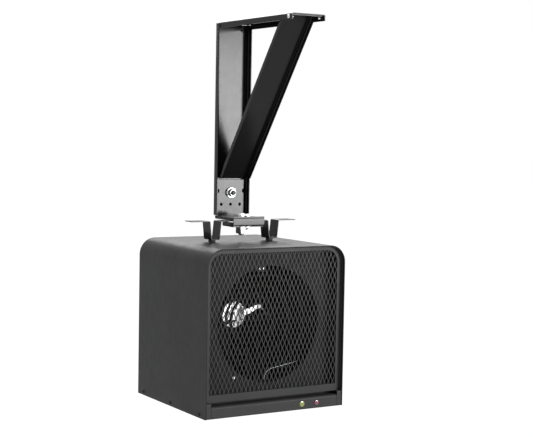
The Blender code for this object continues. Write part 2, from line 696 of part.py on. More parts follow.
def ring_path(y, radius):
    """Centre line of one element: up one leg, round the ring, and down the other leg."""
    foot = FLOOR_Z - 0.016
    start = 270 + math.degrees(math.asin(LEG_HALF_GAP / radius))
    ring = arc((0, AXIS_Z), radius, start, start + 360 - 2 * (start - 270), 30)
    points = [(LEG_HALF_GAP, foot)] + ring + [(-LEG_HALF_GAP, foot)]
    return [(x, y, z) for x, z in points]


def make_elements(steel, frame):
    for i, (y, radius) in enumerate(RINGS):
        curve = bpy.data.curves.new(f"element_{i + 1}", "CURVE")
        curve.dimensions = "3D"
        curve.bevel_depth = TUBE_R
        curve.bevel_resolution = 1
        curve.use_fill_caps = True
        spline = curve.splines.new("POLY")
        points = ring_path(y, radius)
        spline.points.add(len(points) - 1)
        for point, coords in zip(spline.points, points):
            point.co = (*coords, 1.0)
        curve.materials.append(steel)
        obj = bpy.data.objects.new(f"element_{i + 1}", curve)
        bpy.context.scene.collection.objects.link(obj)
        obj.parent = frame
        obj.location = -world_origin(frame)


def make_ceramic_block(ceramic, frame):
    """Insulator in the chamber floor's window, with a bore for each element leg."""
    reach = LEG_HALF_GAP + 0.0075
    low = (-reach, RINGS[0][0] - 0.0089, FLOOR_Z - 0.0060)
    high = (reach, RINGS[-1][0] + 0.0089, FLOOR_Z + 0.0050)
    insulator = finish("ceramic_block", block(low, high), ceramic, parent=frame)
    holes = bmesh.new()
    for y, _ in RINGS:
        for side in (-1, 1):
            hole = circle(0.0059, 10, (side * LEG_HALF_GAP, y))
            prism(hole, "Z", FLOOR_Z - 0.02, FLOOR_Z + 0.02, holes)
    return cut(insulator, holes)


def make_combs(steel, frame):
    """Flat plates that carry the rings at three and nine o'clock, footed on the baffle."""
    face, behind_collar = BAFFLE_Y + SKIN + GAP, BAFFLE_Y + 0.0095
    back = RINGS[-1][0] + 0.014
    outline = [(0.040, behind_collar), (0.131, behind_collar), (0.131, face), (0.147, face),
               (0.147, face + 0.022), (0.131, face + 0.022), (0.124, back), (0.040, back)]
    for side, name in ((-1, "left"), (1, "right")):
        mirrored = [(side * x, y) for x, y in outline]
        comb = finish("element_comb_" + name, prism(mirrored, "Z", AXIS_Z - 0.0010, AXIS_Z + 0.0010), steel,
                      parent=frame)
        holes = bmesh.new()
        for y, radius in RINGS:
            prism(circle(0.0066, 12, (side * radius, y)), "Z", AXIS_Z - 0.01, AXIS_Z + 0.01, holes)
        cut(comb, holes)


def make_controls(steel, plastic, ceramic, frame):
    limit = [(0, 0), (0.0125, 0), (0.0125, 0.0030), (0.0080, 0.0030), (0.0080, 0.0120), (0, 0.0120)]
    bm = lathe(limit, 16)
    bm.transform(Matrix.Rotation(math.radians(-90), 4, "X"))
    finish("limit_thermostat", bm, steel, (-0.105, BAFFLE_Y + SKIN + GAP, CASE_TOP - 0.040), frame)
    shelf = CASE_BOTTOM + SKIN + GAP
    block_size = ((-0.118, 0.105, shelf), (-0.050, 0.132, shelf + 0.020))
    finish("terminal_block", block(*block_size), ceramic, parent=frame)
    relay_size = ((0.030, 0.060, shelf), (0.080, 0.100, shelf + 0.027))
    finish("relay", block(*relay_size), plastic, parent=frame)


# ---------------------------------------------------------------- fan and motor

def make_fan(aluminium, steel, spin):
    """Five stamped blades on a dished centre, clamped to the shaft by a boss."""
    centre = (0, FAN_Y, AXIS_Z)
    profile = [(BORE_R, -0.0020), (HUB_R, -0.0020), (HUB_R, 0.0000), (HUB_R * 0.82, 0.0016), (HUB_R * 0.55, 0.0016),
               (HUB_R * 0.45, 0.0050), (BORE_R, 0.0050)]
    bm = lathe(profile, 24)
    bm.transform(FRONT_AXIS)
    wheel = finish("fan_wheel", bm, aluminium, centre, spin)
    blades = bmesh.new()
    for k in range(5):
        add_blade(blades, math.radians(72 * k + 12))
    blades.transform(Matrix.Translation(centre))
    cut(wheel, blades, "UNION")
    boss = tube_profile(BORE_R, 0.0100, -0.0180, -0.0023)
    solid_of_revolution("fan_boss", boss, 24, steel, centre, spin, along_y=True)


def add_blade(bm, turn):
    """Curved blade in the wheel's own frame: wider and flatter towards its tip."""
    spans, chords = 4, 4
    thickness = 0.0012
    grid = []
    for side in (0, 1):
        rows = []
        for i in range(spans + 1):
            reach = i / spans
            radius = HUB_R * 0.86 + (FAN_R - HUB_R * 0.86) * reach
            pitch = math.radians(34 - 10 * reach)
            chord = 0.034 + 0.048 * math.sin(reach * math.pi * 0.62)
            sweep = 0.26 * reach * reach
            row = []
            for j in range(chords + 1):
                across = (j / chords - 0.5) * chord
                camber = 0.0060 * (1 - (2 * j / chords - 1) ** 2)
                angle = turn + sweep + across * math.cos(pitch) / radius
                depth = across * math.sin(pitch) + camber * reach + side * thickness - 0.0012
                row.append(bm.verts.new((radius * math.cos(angle), -depth, radius * math.sin(angle))))
            rows.append(row)
        grid.append(rows)
    faces = []
    for side in (0, 1):
        for i in range(spans):
            for j in range(chords):
                rows = grid[side]
                faces.append(bm.faces.new((rows[i][j], rows[i][j + 1], rows[i + 1][j + 1], rows[i + 1][j])))
    rim = [(0, j) for j in range(chords)] + [(i, chords) for i in range(spans)]
    rim += [(spans, j) for j in range(chords, 0, -1)] + [(i, 0) for i in range(spans, 0, -1)]
    for (i, j), (m, n) in zip(rim, rim[1:] + rim[:1]):
        faces.append(bm.faces.new((grid[0][i][j], grid[0][m][n], grid[1][m][n], grid[1][i][j])))
    bmesh.ops.recalc_face_normals(bm, faces=faces)


def make_motor(steel, aluminium, copper, frame, spin):
    middle = (0, 0, AXIS_Z)
    y0, y1 = MOTOR_Y0, MOTOR_Y1
    cap = 0.010
    bearing_r = 0.011
    shell = tube_profile(MOTOR_R - 0.0015, MOTOR_R, -(y1 - cap - GAP), -(y0 + cap + GAP))
    solid_of_revolution("motor_shell", shell, 24, steel, middle, frame, along_y=True)
    front = [(bearing_r + GAP, -(y0 + cap)), (MOTOR_R, -(y0 + cap)), (MOTOR_R, -(y0 + 0.004)),
             (MOTOR_R * 0.6, -y0), (bearing_r + GAP, -y0)]
    solid_of_revolution("motor_front_cap", front, 24, aluminium, middle, frame, along_y=True)
    back = [(bearing_r + GAP, -y1), (MOTOR_R * 0.6, -y1), (MOTOR_R, -(y1 - 0.004)), (MOTOR_R, -(y1 - cap)),
            (bearing_r + GAP, -(y1 - cap))]
    solid_of_revolution("motor_back_cap", back, 24, aluminium, middle, frame, along_y=True)
    for name, y in (("front", y0 + 0.001), ("back", y1 - 0.009)):
        bearing = tube_profile(BORE_R, bearing_r, -(y + 0.008), -y)
        solid_of_revolution("bearing_" + name, bearing, 24, steel, middle, frame, along_y=True)
    stator = tube_profile(0.0263, MOTOR_R - 0.0018, -(y1 - 0.018), -(y0 + 0.018))
    solid_of_revolution("stator", stator, 24, copper, middle, frame, along_y=True)
    rotor = tube_profile(BORE_R, 0.0255, -(y1 - 0.020), -(y0 + 0.020))
    solid_of_revolution("rotor", rotor, 24, steel, middle, spin, along_y=True)
    shaft = [(0, -(y1 + 0.002)), (SHAFT_R, -(y1 + 0.002)), (SHAFT_R, -(y0 + 0.02)), (SHAFT_R, -0.0300), (0, -0.0290)]
    solid_of_revolution("motor_shaft", shaft, 24, steel, middle, spin, along_y=True)


def make_motor_straps(steel, frame):
    """Two bent straps that carry the motor's back cap from the back panel."""
    gauge = 0.0016
    near = MOTOR_Y1 + GAP + gauge
    far = BACK_Y - 0.0040 - SKIN - 2 * GAP - 0.0015
    path = [(-0.152, far), (-0.138, far), (-0.118, near), (0.118, near), (0.138, far), (0.152, far)]
    for name, z in (("upper", 0.026), ("lower", -0.026)):
        low, high = AXIS_Z + z - 0.009, AXIS_Z + z + 0.009
        finish("motor_strap_" + name, prism(sheet(path, -gauge), "Z", low, high), steel, parent=frame)


def main():
    clear_scene()
    black = material("bracket_black", (0.012, 0.012, 0.013), 0.34, 0.0)
    grey = material("case_grey", (0.060, 0.061, 0.064), 0.55, 0.0)
    dark = material("inner_dark", (0.018, 0.018, 0.019), 0.60, 0.0)
    zinc = material("zinc", (0.66, 0.66, 0.64), 0.30, 1.0)
    steel = material("bright_steel", (0.46, 0.46, 0.47), 0.38, 1.0)
    aluminium = material("aluminium", (0.80, 0.80, 0.81), 0.28, 1.0)
    rubber = material("rubber", (0.020, 0.020, 0.020), 0.85, 0.0)
    ceramic = material("ceramic", (0.80, 0.77, 0.70), 0.45, 0.0)
    copper = material("winding", (0.50, 0.22, 0.10), 0.45, 0.6)
    plastic = material("relay_plastic", (0.030, 0.032, 0.036), 0.50, 0.0)
    green = material("green_lens", (0.42, 0.62, 0.05), 0.20, 0.0)
    red = material("red_lens", (0.55, 0.02, 0.12), 0.20, 0.0)

    level_axis = empty("level_axis", (0, UPSTAND_Y, LEVEL_Z))
    swivel_axis = empty("swivel_axis", (0, 0, SADDLE_TOP), level_axis)
    fan_axis = empty("fan_axis", (0, FAN_Y, AXIS_Z), swivel_axis)

    make_arm(black)
    make_column(black)
    make_brace(black)
    make_brace_screws(zinc)
    make_level_bolt(zinc)

    make_saddle(black, level_axis)
    make_clamp(black, level_axis)
    make_swivel_hardware(zinc, level_axis)

    make_hanger(black, swivel_axis)
    make_hanger_feet(zinc, rubber, swivel_axis)
    make_wrap(grey, swivel_axis)
    make_base(grey, swivel_axis)
    make_side_screws(grey, swivel_axis)
    make_front_frame(grey, swivel_axis)
    make_grille(grey, swivel_axis)
    make_control_strip(grey, swivel_axis)
    make_lenses((("lens_green", green), ("lens_red", red)), swivel_axis)
    make_baffle(dark, swivel_axis)
    make_back(grey, swivel_axis)
    make_guard(dark, swivel_axis)
    make_wiring_cover(grey, zinc, swivel_axis)

    make_chamber_floor(dark, swivel_axis)
    make_elements(steel, swivel_axis)
    make_ceramic_block(ceramic, swivel_axis)
    make_combs(steel, swivel_axis)
    make_controls(steel, plastic, ceramic, swivel_axis)

    make_fan(aluminium, steel, fan_axis)
    make_motor(steel, aluminium, copper, swivel_axis, fan_axis)
    make_motor_straps(steel, swivel_axis)


main()
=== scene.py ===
"""Looks of the ceiling-hung fan heater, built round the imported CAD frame.

Metres, +Z up, origin on the bracket arm's ceiling face above the swivel bolt, -Y at the front.
"""
import math

import bmesh
import bpy
from mathutils import Matrix, Vector


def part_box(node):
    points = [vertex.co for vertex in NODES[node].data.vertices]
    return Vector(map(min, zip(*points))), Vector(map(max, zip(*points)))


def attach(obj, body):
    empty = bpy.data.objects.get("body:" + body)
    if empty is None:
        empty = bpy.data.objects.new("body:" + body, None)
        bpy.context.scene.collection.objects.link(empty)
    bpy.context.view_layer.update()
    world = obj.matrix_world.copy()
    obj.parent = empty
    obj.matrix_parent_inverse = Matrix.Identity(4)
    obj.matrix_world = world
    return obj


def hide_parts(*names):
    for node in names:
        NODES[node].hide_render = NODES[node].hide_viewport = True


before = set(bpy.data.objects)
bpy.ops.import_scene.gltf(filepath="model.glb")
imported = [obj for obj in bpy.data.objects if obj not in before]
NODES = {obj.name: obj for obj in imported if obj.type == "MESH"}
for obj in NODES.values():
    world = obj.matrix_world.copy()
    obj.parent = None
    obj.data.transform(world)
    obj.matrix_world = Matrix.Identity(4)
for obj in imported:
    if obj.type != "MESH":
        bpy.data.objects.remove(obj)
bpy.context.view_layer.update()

# Sheet gauges, bends and the rounding of cut edges
HEAVY = 0.0020
LIGHT = 0.0012
BEND = 0.0012
EDGE = 0.0003
SKIRT_DEPTH = 0.0061
JOGGLE = 0.0025

# Cutters: how far they pass through a plate, and half the width of one that clears the bracket
THROUGH = 0.01
CLEAR = 0.06

# Hole radii
SCREW_HOLE = 0.0024
FOOT_HOLE = 0.0030
LOCK_HOLE = 0.0032
SMALL_HOLE = 0.0035
SWIVEL_HOLE = 0.0052

# Camera
CAMERA_AT = (-1.4517, -2.5232, -0.2481)
CAMERA_YAW = 0.5416
CAMERA_PITCH = -0.0649
CAMERA_ROLL = 0.0173
CAMERA_LENS = 87.71

# Studio
FLOOR_Z = -1.75
FLOOR_SIZE = 60.0


# ---- materials

class Nodes:
    """A material with its Principled shader and short helpers for the nodes that feed it."""

    def __init__(self, name, colour, roughness, metallic=0.0, specular=0.5):
        self.material = bpy.data.materials.new(name)
        self.material.use_nodes = True
        self.tree = self.material.node_tree
        self.shader = self.tree.nodes["Principled BSDF"]
        self.set("Base Color", (*colour, 1.0))
        self.set("Roughness", roughness)
        self.set("Metallic", metallic)
        self.set("Specular IOR Level", specular)
        self.colour = colour
        self.roughness = roughness
        self.normal = None
        self.coordinates = self.tree.nodes.new("ShaderNodeTexCoord").outputs["Object"]

    def set(self, socket, value):
        self.shader.inputs[socket].default_value = value

    def link(self, output, target):
        self.tree.links.new(output, target)

    def stretched(self, scale):
        mapping = self.tree.nodes.new("ShaderNodeMapping")
        mapping.inputs["Scale"].default_value = scale
        self.link(self.coordinates, mapping.inputs["Vector"])
        return mapping.outputs["Vector"]

    def noise(self, scale, detail=3.0, roughness=0.55, vector=None):
        noise = self.tree.nodes.new("ShaderNodeTexNoise")
        noise.inputs["Scale"].default_value = scale
        noise.inputs["Detail"].default_value = detail
        noise.inputs["Roughness"].default_value = roughness
        self.link(vector or self.coordinates, noise.inputs["Vector"])
        return noise.outputs["Fac"]

    def cells(self, scale):
        cells = self.tree.nodes.new("ShaderNodeTexVoronoi")
        cells.inputs["Scale"].default_value = scale
        self.link(self.coordinates, cells.inputs["Vector"])
        return cells.outputs["Distance"]

    def ramp(self, value, stops):
        """Colour ramp; stops are (position, colour)."""
        ramp = self.tree.nodes.new("ShaderNodeValToRGB")
        elements = ramp.color_ramp.elements
        elements[0].position, elements[0].color = stops[0][0], (*stops[0][1], 1.0)
        elements[1].position, elements[1].color = stops[-1][0], (*stops[-1][1], 1.0)
        for position, colour in stops[1:-1]:
            elements.new(position).color = (*colour, 1.0)
        self.link(value, ramp.inputs["Fac"])
        return ramp.outputs["Color"]

    def range(self, value, low, high, from_low=0.3, from_high=0.7):
        node = self.tree.nodes.new("ShaderNodeMapRange")
        node.inputs["From Min"].default_value = from_low
        node.inputs["From Max"].default_value = from_high
        node.inputs["To Min"].default_value = low
        node.inputs["To Max"].default_value = high
        self.link(value, node.inputs["Value"])
        return node.outputs["Result"]

    def mix(self, factor, first, second):
        mix = self.tree.nodes.new("ShaderNodeMix")
        mix.data_type = "RGBA"
        self.link(factor, mix.inputs["Factor"])
        for socket, value in (("A", first), ("B", second)):
            target = [s for s in mix.inputs if s.name == socket and s.type == "RGBA"][0]
            if isinstance(value, tuple):
                target.default_value = (*value, 1.0)
            else:
                self.link(value, target)
        return [s for s in mix.outputs if s.type == "RGBA"][0]

    def vary(self, value, spread):
        """Darker and lighter tones of the base colour, driven by value."""
        low = tuple(c * (1 - spread) for c in self.colour)
        high = tuple(c * (1 + spread) for c in self.colour)
        colour = self.ramp(value, ((0.3, low), (0.7, high)))
        self.link(colour, self.shader.inputs["Base Color"])
        return colour

    def rough(self, value, spread):
        low, high = self.roughness * (1 - spread), self.roughness * (1 + spread)
        self.link(self.range(value, low, high), self.shader.inputs["Roughness"])

    def bump(self, value, distance, strength=1.0):
        bump = self.tree.nodes.new("ShaderNodeBump")
        bump.inputs["Distance"].default_value = distance
        bump.inputs["Strength"].default_value = strength
        self.link(value, bump.inputs["Height"])
        if self.normal is not None:
            self.link(self.normal, bump.inputs["Normal"])
        self.normal = bump.outputs["Normal"]
        self.link(self.normal, self.shader.inputs["Normal"])

    def faces_up(self):
        """1 on faces that look up, 0 on the others."""
        geometry = self.tree.nodes.new("ShaderNodeNewGeometry")
        split = self.tree.nodes.new("ShaderNodeSeparateXYZ")
        self.link(geometry.outputs["Normal"], split.inputs["Vector"])
        return self.range(split.outputs["Z"], 0.0, 1.0, 0.6, 0.98)


def powder_coat(name, colour, roughness, specular, grain, depth):
    """Baked powder: fine orange peel, slight clouding, and painted top light, a patchy lighter tone on upward
    faces.
    """
    mat = Nodes(name, colour, roughness, specular=specular)
    clouds = mat.noise(14.0, 4.0)
    tone = mat.vary(clouds, 0.10)
    # Painted top light: upward faces are mixed in patches towards a lighter tone.
    painted_top_light = mat.tree.nodes.new("ShaderNodeMath")
    painted_top_light.operation = "MULTIPLY"
    mat.link(mat.faces_up(), painted_top_light.inputs[0])
    mat.link(mat.range(mat.noise(90.0, 5.0), 0.0, 0.10), painted_top_light.inputs[1])
    top_lit_tone = tuple(c * 0.7 + 0.05 for c in colour)
    mat.link(mat.mix(painted_top_light.outputs[0], tone, top_lit_tone), mat.shader.inputs["Base Color"])
    mat.rough(mat.noise(60.0, 4.0), 0.10)
    mat.bump(mat.noise(grain, 2.0), depth)
    return mat.material


def zinc_plate():
    mat = Nodes("zinc_plate", (0.60, 0.60, 0.59), 0.44, metallic=1.0)
    patches = mat.noise(260.0, 4.0)
    stops = ((0.25, (0.48, 0.48, 0.49)), (0.55, (0.60, 0.60, 0.59)), (0.8, (0.66, 0.65, 0.61)))
    colour = mat.ramp(patches, stops)
    mat.link(colour, mat.shader.inputs["Base Color"])
    mat.rough(mat.noise(700.0, 3.0), 0.30)
    mat.bump(mat.noise(1600.0, 2.0), 0.00002)
    return mat.material


def rolled_metal(name, colour, roughness, direction, metallic=1.0):
    """Mill finish: fine lines along one direction and soft patches."""
    mat = Nodes(name, colour, roughness, metallic=metallic)
    lines = mat.noise(60.0, 3.0, vector=mat.stretched(direction))
    mat.vary(lines, 0.10)
    mat.rough(lines, 0.25)
    mat.bump(lines, 0.00004)
    mat.bump(mat.noise(120.0, 3.0), 0.00005)
    return mat.material


def heated_steel():
    """Heater sheath and fins: blackened steel with faint straw and blue heat tints."""
    mat = Nodes("heated_steel", (0.010, 0.010, 0.011), 0.68, metallic=0.3, specular=0.08)
    tint = mat.noise(26.0, 4.0)
    stops = ((0.28, (0.008, 0.009, 0.012)), (0.45, (0.011, 0.011, 0.011)), (0.60, (0.014, 0.012, 0.009)),
             (0.75, (0.009, 0.008, 0.008)))
    mat.link(mat.ramp(tint, stops), mat.shader.inputs["Base Color"])
    mat.rough(mat.noise(300.0, 3.0), 0.25)
    mat.bump(mat.noise(900.0, 3.0), 0.00003)
    return mat.material


def plain(name, colour, roughness, specular, tone, gloss, grain):
    """Clouded colour, uneven gloss and fine grain, each as (scale, detail, amount)."""
    mat = Nodes(name, colour, roughness, specular=specular)
    mat.vary(mat.noise(*tone[:2]), tone[2])
    mat.rough(mat.noise(*gloss[:2]), gloss[2])
    mat.bump(mat.noise(*grain[:2]), grain[2])
    return mat.material


def enamelled_copper():
    mat = Nodes("enamelled_copper", (0.50, 0.20, 0.09), 0.35, metallic=0.8)
    strands = mat.noise(40.0, 2.0, vector=mat.stretched((1.0, 30.0, 1.0)))
    mat.vary(strands, 0.25)
    mat.rough(mat.noise(500.0, 2.0), 0.20)
    mat.bump(strands, 0.0002)
    return mat.material


def lamp_lens(name, colour, glow):
    """Clear coloured lens, brighter where its facets gather the light."""
    mat = Nodes(name, colour, 0.18)
    mat.set("Coat Weight", 0.6)
    mat.set("Coat Roughness", 0.08)
    facets = mat.cells(900.0)
    high = tuple(min(1.0, c * 1.5 + 0.04) for c in colour)
    tone = mat.ramp(facets, ((0.1, high), (0.6, colour)))
    mat.link(tone, mat.shader.inputs["Base Color"])
    mat.link(tone, mat.shader.inputs["Emission Color"])
    mat.set("Emission Strength", glow)
    mat.rough(mat.noise(500.0, 2.0), 0.2)
    mat.bump(facets, 0.0001)
    return mat.material


BLACK = powder_coat("black_powder_coat", (0.0045, 0.0045, 0.0046), 0.19, 0.105, 1100.0, 0.000010)
GREY = powder_coat("grey_powder_coat", (0.0195, 0.0197, 0.0199), 0.42, 0.06, 1600.0, 0.00003)
OXIDE = powder_coat("oiled_black_oxide", (0.016, 0.018, 0.017), 0.36, 0.08, 900.0, 0.00003)
MATT = plain("matt_black", (0.0060, 0.0060, 0.0062), 0.62, 0.10, (20.0, 4.0, 0.18), (80.0, 3.0, 0.12),
             (1500.0, 2.0, 0.00005))
ZINC = zinc_plate()
DULL_ZINC = rolled_metal("dull_zinc", (0.20, 0.21, 0.21), 0.42, (1.0, 1.0, 8.0))
MESH = powder_coat("mesh_powder_coat", (0.032, 0.0322, 0.0324), 0.42, 0.12, 1600.0, 0.00003)
STEEL = rolled_metal("mill_steel", (0.48, 0.48, 0.49), 0.34, (1.0, 12.0, 1.0))
ALUMINIUM = rolled_metal("rolled_aluminium", (0.86, 0.86, 0.87), 0.22, (12.0, 1.0, 1.0))
SPUN = rolled_metal("spun_aluminium", (0.88, 0.88, 0.88), 0.40, (12.0, 1.0, 1.0), 0.45)
WHEEL = rolled_metal("wheel_aluminium", (0.010, 0.010, 0.0105), 0.52, (12.0, 1.0, 1.0))
HEATED = heated_steel()
RUBBER = plain("spacer_rubber", (0.022, 0.022, 0.023), 0.80, 0.30, (180.0, 4.0, 0.25), (400.0, 3.0, 0.10),
               (2200.0, 3.0, 0.00006))
CERAMIC = plain("unglazed_ceramic", (0.72, 0.69, 0.61), 0.55, 0.5, (70.0, 5.0, 0.06), (300.0, 3.0, 0.12),
                (2500.0, 4.0, 0.00008))
COPPER = enamelled_copper()
PLASTIC = plain("moulded_plastic", (0.028, 0.030, 0.034), 0.48, 0.5, (50.0, 3.0, 0.12), (500.0, 3.0, 0.12),
                (1800.0, 3.0, 0.00004))
GREEN = lamp_lens("green_lamp", (0.085, 0.100, 0.010), 0.02)
RED = lamp_lens("red_lamp", (0.085, 0.004, 0.020), 0.02)


# ---- mesh helpers

def piece(name, bm, mat, body, replaced=(), bevel=0.0, segments=2, smooth=30):
    """Finish a mesh as a visible piece that rides on a CAD body and stands for CAD nodes."""
    bmesh.ops.remove_doubles(bm, verts=bm.verts, dist=1e-6)
    bmesh.ops.recalc_face_normals(bm, faces=bm.faces)
    mesh = bpy.data.meshes.new(name)
    bm.to_mesh(mesh)
    bm.free()
    mesh.shade_smooth()
    mesh.set_sharp_from_angle(angle=math.radians(smooth))
    mesh.materials.append(mat)
    obj = bpy.data.objects.new(name, mesh)
    bpy.context.scene.collection.objects.link(obj)
    if bevel:
        soften(obj, bevel, segments)
    flats = obj.modifiers.new("flats", "WEIGHTED_NORMAL")
    flats.keep_sharp = True
    if replaced:
        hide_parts(*replaced)
    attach(obj, body)
    return obj


def soften(obj, width, segments=2):
    bevel = obj.modifiers.new("edges", "BEVEL")
    bevel.width = width
    bevel.segments = segments
    bevel.limit_method = "ANGLE"
    bevel.angle_limit = math.radians(40)
    bevel.harden_normals = True
    bevel.use_clamp_overlap = True


def pierce(obj, bm):
    """Cut bm out of obj for good."""
    bmesh.ops.recalc_face_normals(bm, faces=bm.faces)
    tool_mesh = bpy.data.meshes.new("tool")
    bm.to_mesh(tool_mesh)
    bm.free()
    tool = bpy.data.objects.new("tool", tool_mesh)
    bpy.context.scene.collection.objects.link(tool)
    kept = list(obj.modifiers)
    cutter = obj.modifiers.new("cut", "BOOLEAN")
    cutter.solver = "EXACT"
    cutter.object = tool
    for modifier in kept:
        modifier.show_viewport = False
    bpy.context.view_layer.update()
    evaluated = obj.evaluated_get(bpy.context.evaluated_depsgraph_get())
    result = bpy.data.meshes.new_from_object(evaluated)
    obj.modifiers.remove(cutter)
    for modifier in kept:
        modifier.show_viewport = True
    old = obj.data
    result.name = obj.name
    obj.data = result
    result.shade_smooth()
    result.set_sharp_from_angle(angle=math.radians(30))
    bpy.data.meshes.remove(old)
    bpy.data.objects.remove(tool)
    bpy.data.meshes.remove(tool_mesh)
    return obj


def refined(node, mat, body, bevel=EDGE, name=None):
    """A copy of a CAD node's shape with its flat faces whole again and its edges rounded."""
    bm = bmesh.new()
    bm.from_mesh(NODES[node].data)
    bmesh.ops.remove_doubles(bm, verts=bm.verts, dist=2e-5)
    bmesh.ops.dissolve_limit(bm, angle_limit=math.radians(0.6), verts=bm.verts, edges=bm.edges)
    return piece(name or node + "_shell", bm, mat, body, (node,), bevel)


PLACES = {
    "X": lambda u, v, w: Vector((w, u, v)),
    "Y": lambda u, v, w: Vector((u, w, v)),
    "Z": lambda u, v, w: Vector((u, v, w)),
}


def extrude(outline, low, high, axis, bm=None):
    """Prism of an outline along an axis of the part, or as a placing function says."""
    place = PLACES.get(axis, axis)
    bm = bm or bmesh.new()
    start = [bm.verts.new(place(u, v, low)) for u, v in outline]
    end = [bm.verts.new(place(u, v, high)) for u, v in outline]
    bm.faces.new(start)
    bm.faces.new(reversed(end))
    count = len(outline)
    for i in range(count):
        j = (i + 1) % count
        bm.faces.new((start[j], start[i], end[i], end[j]))
    return bm


def block(low, high, bm=None):
    outline = [(low[0], low[1]), (high[0], low[1]), (high[0], high[1]), (low[0], high[1])]
    return extrude(outline, low[2], high[2], "Z", bm)


def circle(radius, segments, centre=(0, 0), turn=0.0):
    step = 2 * math.pi / segments
    return [(centre[0] + radius * math.cos(turn + step * i), centre[1] + radius * math.sin(turn + step * i))
            for i in range(segments)]


def arc(centre, radius, start, end, segments):
    angles = [math.radians(start + (end - start) * i / segments) for i in range(segments + 1)]
    return [(centre[0] + radius * math.cos(a), centre[1] + radius * math.sin(a)) for a in angles]


def rounded_top(half_w, bottom, top, radius, segments=16):
    right = arc((half_w - radius, top - radius), radius, 0, 90, segments)
    left = arc((-half_w + radius, top - radius), radius, 90, 180, segments)
    return [(half_w, bottom)] + right + left + [(-half_w, bottom)]


def folded(path, thickness, radius=BEND, steps=5):
    """Outline of a bent sheet with true bend radii: path is one face, thickness lies to its left."""
    points = [Vector(p) for p in path]
    material = 1 if thickness > 0 else -1
    gauge = abs(thickness)
    near, far = [], []
    for i, point in enumerate(points):
        before = (point - points[i - 1]).normalized() if i else None
        after = (points[i + 1] - point).normalized() if i < len(points) - 1 else None
        if before is None or after is None:
            run = after or before
            near.append(point.copy())
            far.append(point + Vector((-run.y, run.x)) * thickness)
            continue
        turn = math.atan2(before.x * after.y - before.y * after.x, before.dot(after))
        side = 1 if turn > 0 else -1
        own = radius + gauge if side == material else radius
        other = radius if side == material else radius + gauge
        tangent = point - before * own * math.tan(abs(turn) / 2)
        spoke = Vector((before.y, -before.x)) * side
        centre = tangent - spoke * own
        for k in range(steps + 1):
            angle = turn * k / steps
            turned = Vector((spoke.x * math.cos(angle) - spoke.y * math.sin(angle),
                             spoke.x * math.sin(angle) + spoke.y * math.cos(angle)))
            near.append(centre + turned * own)
            far.append(centre + turned * other)
    return [tuple(p) for p in near] + [tuple(p) for p in reversed(far)]


def lathe(profile, segments, bm=None):
    """Turn a closed (radius, height) outline round local Z."""
    bm = bm or bmesh.new()
    rings = []
    for radius, height in profile:
        if radius < 1e-9:
            rings.append([bm.verts.new((0, 0, height))] * segments)
        else:
            rings.append([bm.verts.new((x, y, height)) for x, y in circle(radius, segments)])
    for k in range(len(rings)):
        low, high = rings[k], rings[(k + 1) % len(rings)]
        for i in range(segments):
            j = (i + 1) % segments
            corners = []
            for vert in (low[i], low[j], high[j], high[i]):
                if vert not in corners:
                    corners.append(vert)
            if len(corners) > 2:
                bm.faces.new(corners)
    return bm


def skin(bm, rings, closed=False):
    """Quads between each ring and the next."""
    pairs = list(zip(rings, rings[1:]))
    if closed:
        pairs.append((rings[-1], rings[0]))
    for low, high in pairs:
        count = len(low)
        for i in range(count):
            j = (i + 1) % count
            bm.faces.new((low[i], low[j], high[j], high[i]))


def capped(bm, rings):
    """Skin through the rings, closed at both ends."""
    skin(bm, rings)
    bm.faces.new(rings[0])
    bm.faces.new(rings[-1])


def drill(bm, radius, centre, at, axis, segments=24, reach=THROUGH):
    """Round cutter through a plate that lies at one height of an axis."""
    return extrude(circle(radius, segments, centre), at - reach, at + reach, axis, bm)


def long_slot(x, y, half, radius):
    """Outline of a slot with round ends, long across."""
    return arc((x + half, y), radius, -90, 90, 8) + arc((x - half, y), radius, 90, 270, 8)


def both_sides(near, far):
    """Name, sign and x range of a stretch on the left, and of its mirror image."""
    for name, sign in (("left", -1), ("right", 1)):
        yield (name, sign, *sorted((sign * near, sign * far)))


def middle(node):
    low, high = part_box(node)
    return (low + high) / 2


# ---- bracket

def joggled_path(half_w, depth, step):
    """Channel with stepped flanges, (across, into the channel), walked on its outer face."""
    slope = 0.0018
    flange = half_w + JOGGLE
    right = [(half_w, 0.0), (half_w, step - slope), (flange, step + slope * 0.4), (flange, depth)]
    return [(-u, v) for u, v in reversed(right)] + right


def make_arm():
    low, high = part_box("arm")
    path = [(low.x, low.z), (low.x, 0.0), (high.x, 0.0), (high.x, low.z)]
    bm = extrude(folded(path, -HEAVY), low.y, high.y, "Y")
    arm = piece("arm_shell", bm, BLACK, "bracket", ("arm",), EDGE)
    column_gap, skirts = 0.0006, -0.03
    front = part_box("column")[0].y - column_gap
    cuts = block((-CLEAR, front, skirts), (CLEAR, high.y + THROUGH, -HEAVY))
    for y in (-0.190, 0.020):
        extrude(long_slot(0, y, 0.0125, SMALL_HOLE), -THROUGH, THROUGH, "Z", cuts)
    for x in (-0.022, 0.022):
        drill(cuts, SMALL_HOLE, (x, -0.100), 0, "Z", 20)
    screw = middle("brace_screw_left")
    drill(cuts, SCREW_HOLE, (screw.y, screw.z), 0, "X", 16, CLEAR)
    return pierce(arm, cuts)


def make_column():
    low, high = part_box("column")
    path = joggled_path(high.x - JOGGLE, high.y - low.y, 0.010)
    outline = folded([(u, high.y - v) for u, v in path], HEAVY)
    bm = extrude(outline, low.z, high.z, "Z")
    column = piece("column_shell", bm, BLACK, "bracket", ("column",), EDGE)
    bolt_hole = circle(0.0055, 24, (0, middle("level_bolt").z))
    pierce(column, extrude(bolt_hole, high.y - 0.008, high.y + THROUGH, "Y"))
    dome = [(0.0022, 0), (0.0022, 0.0004), (0.0016, 0.0010), (0.0007, 0.0013), (0, 0.0013), (0, 0)]
    rivet = lathe(dome, 24)
    rivet.transform(Matrix.Translation((0.0268, high.y - HEAVY, -0.0150)) @ FORWARD)
    piece("column_rivet", rivet, MATT, "bracket")
    return column


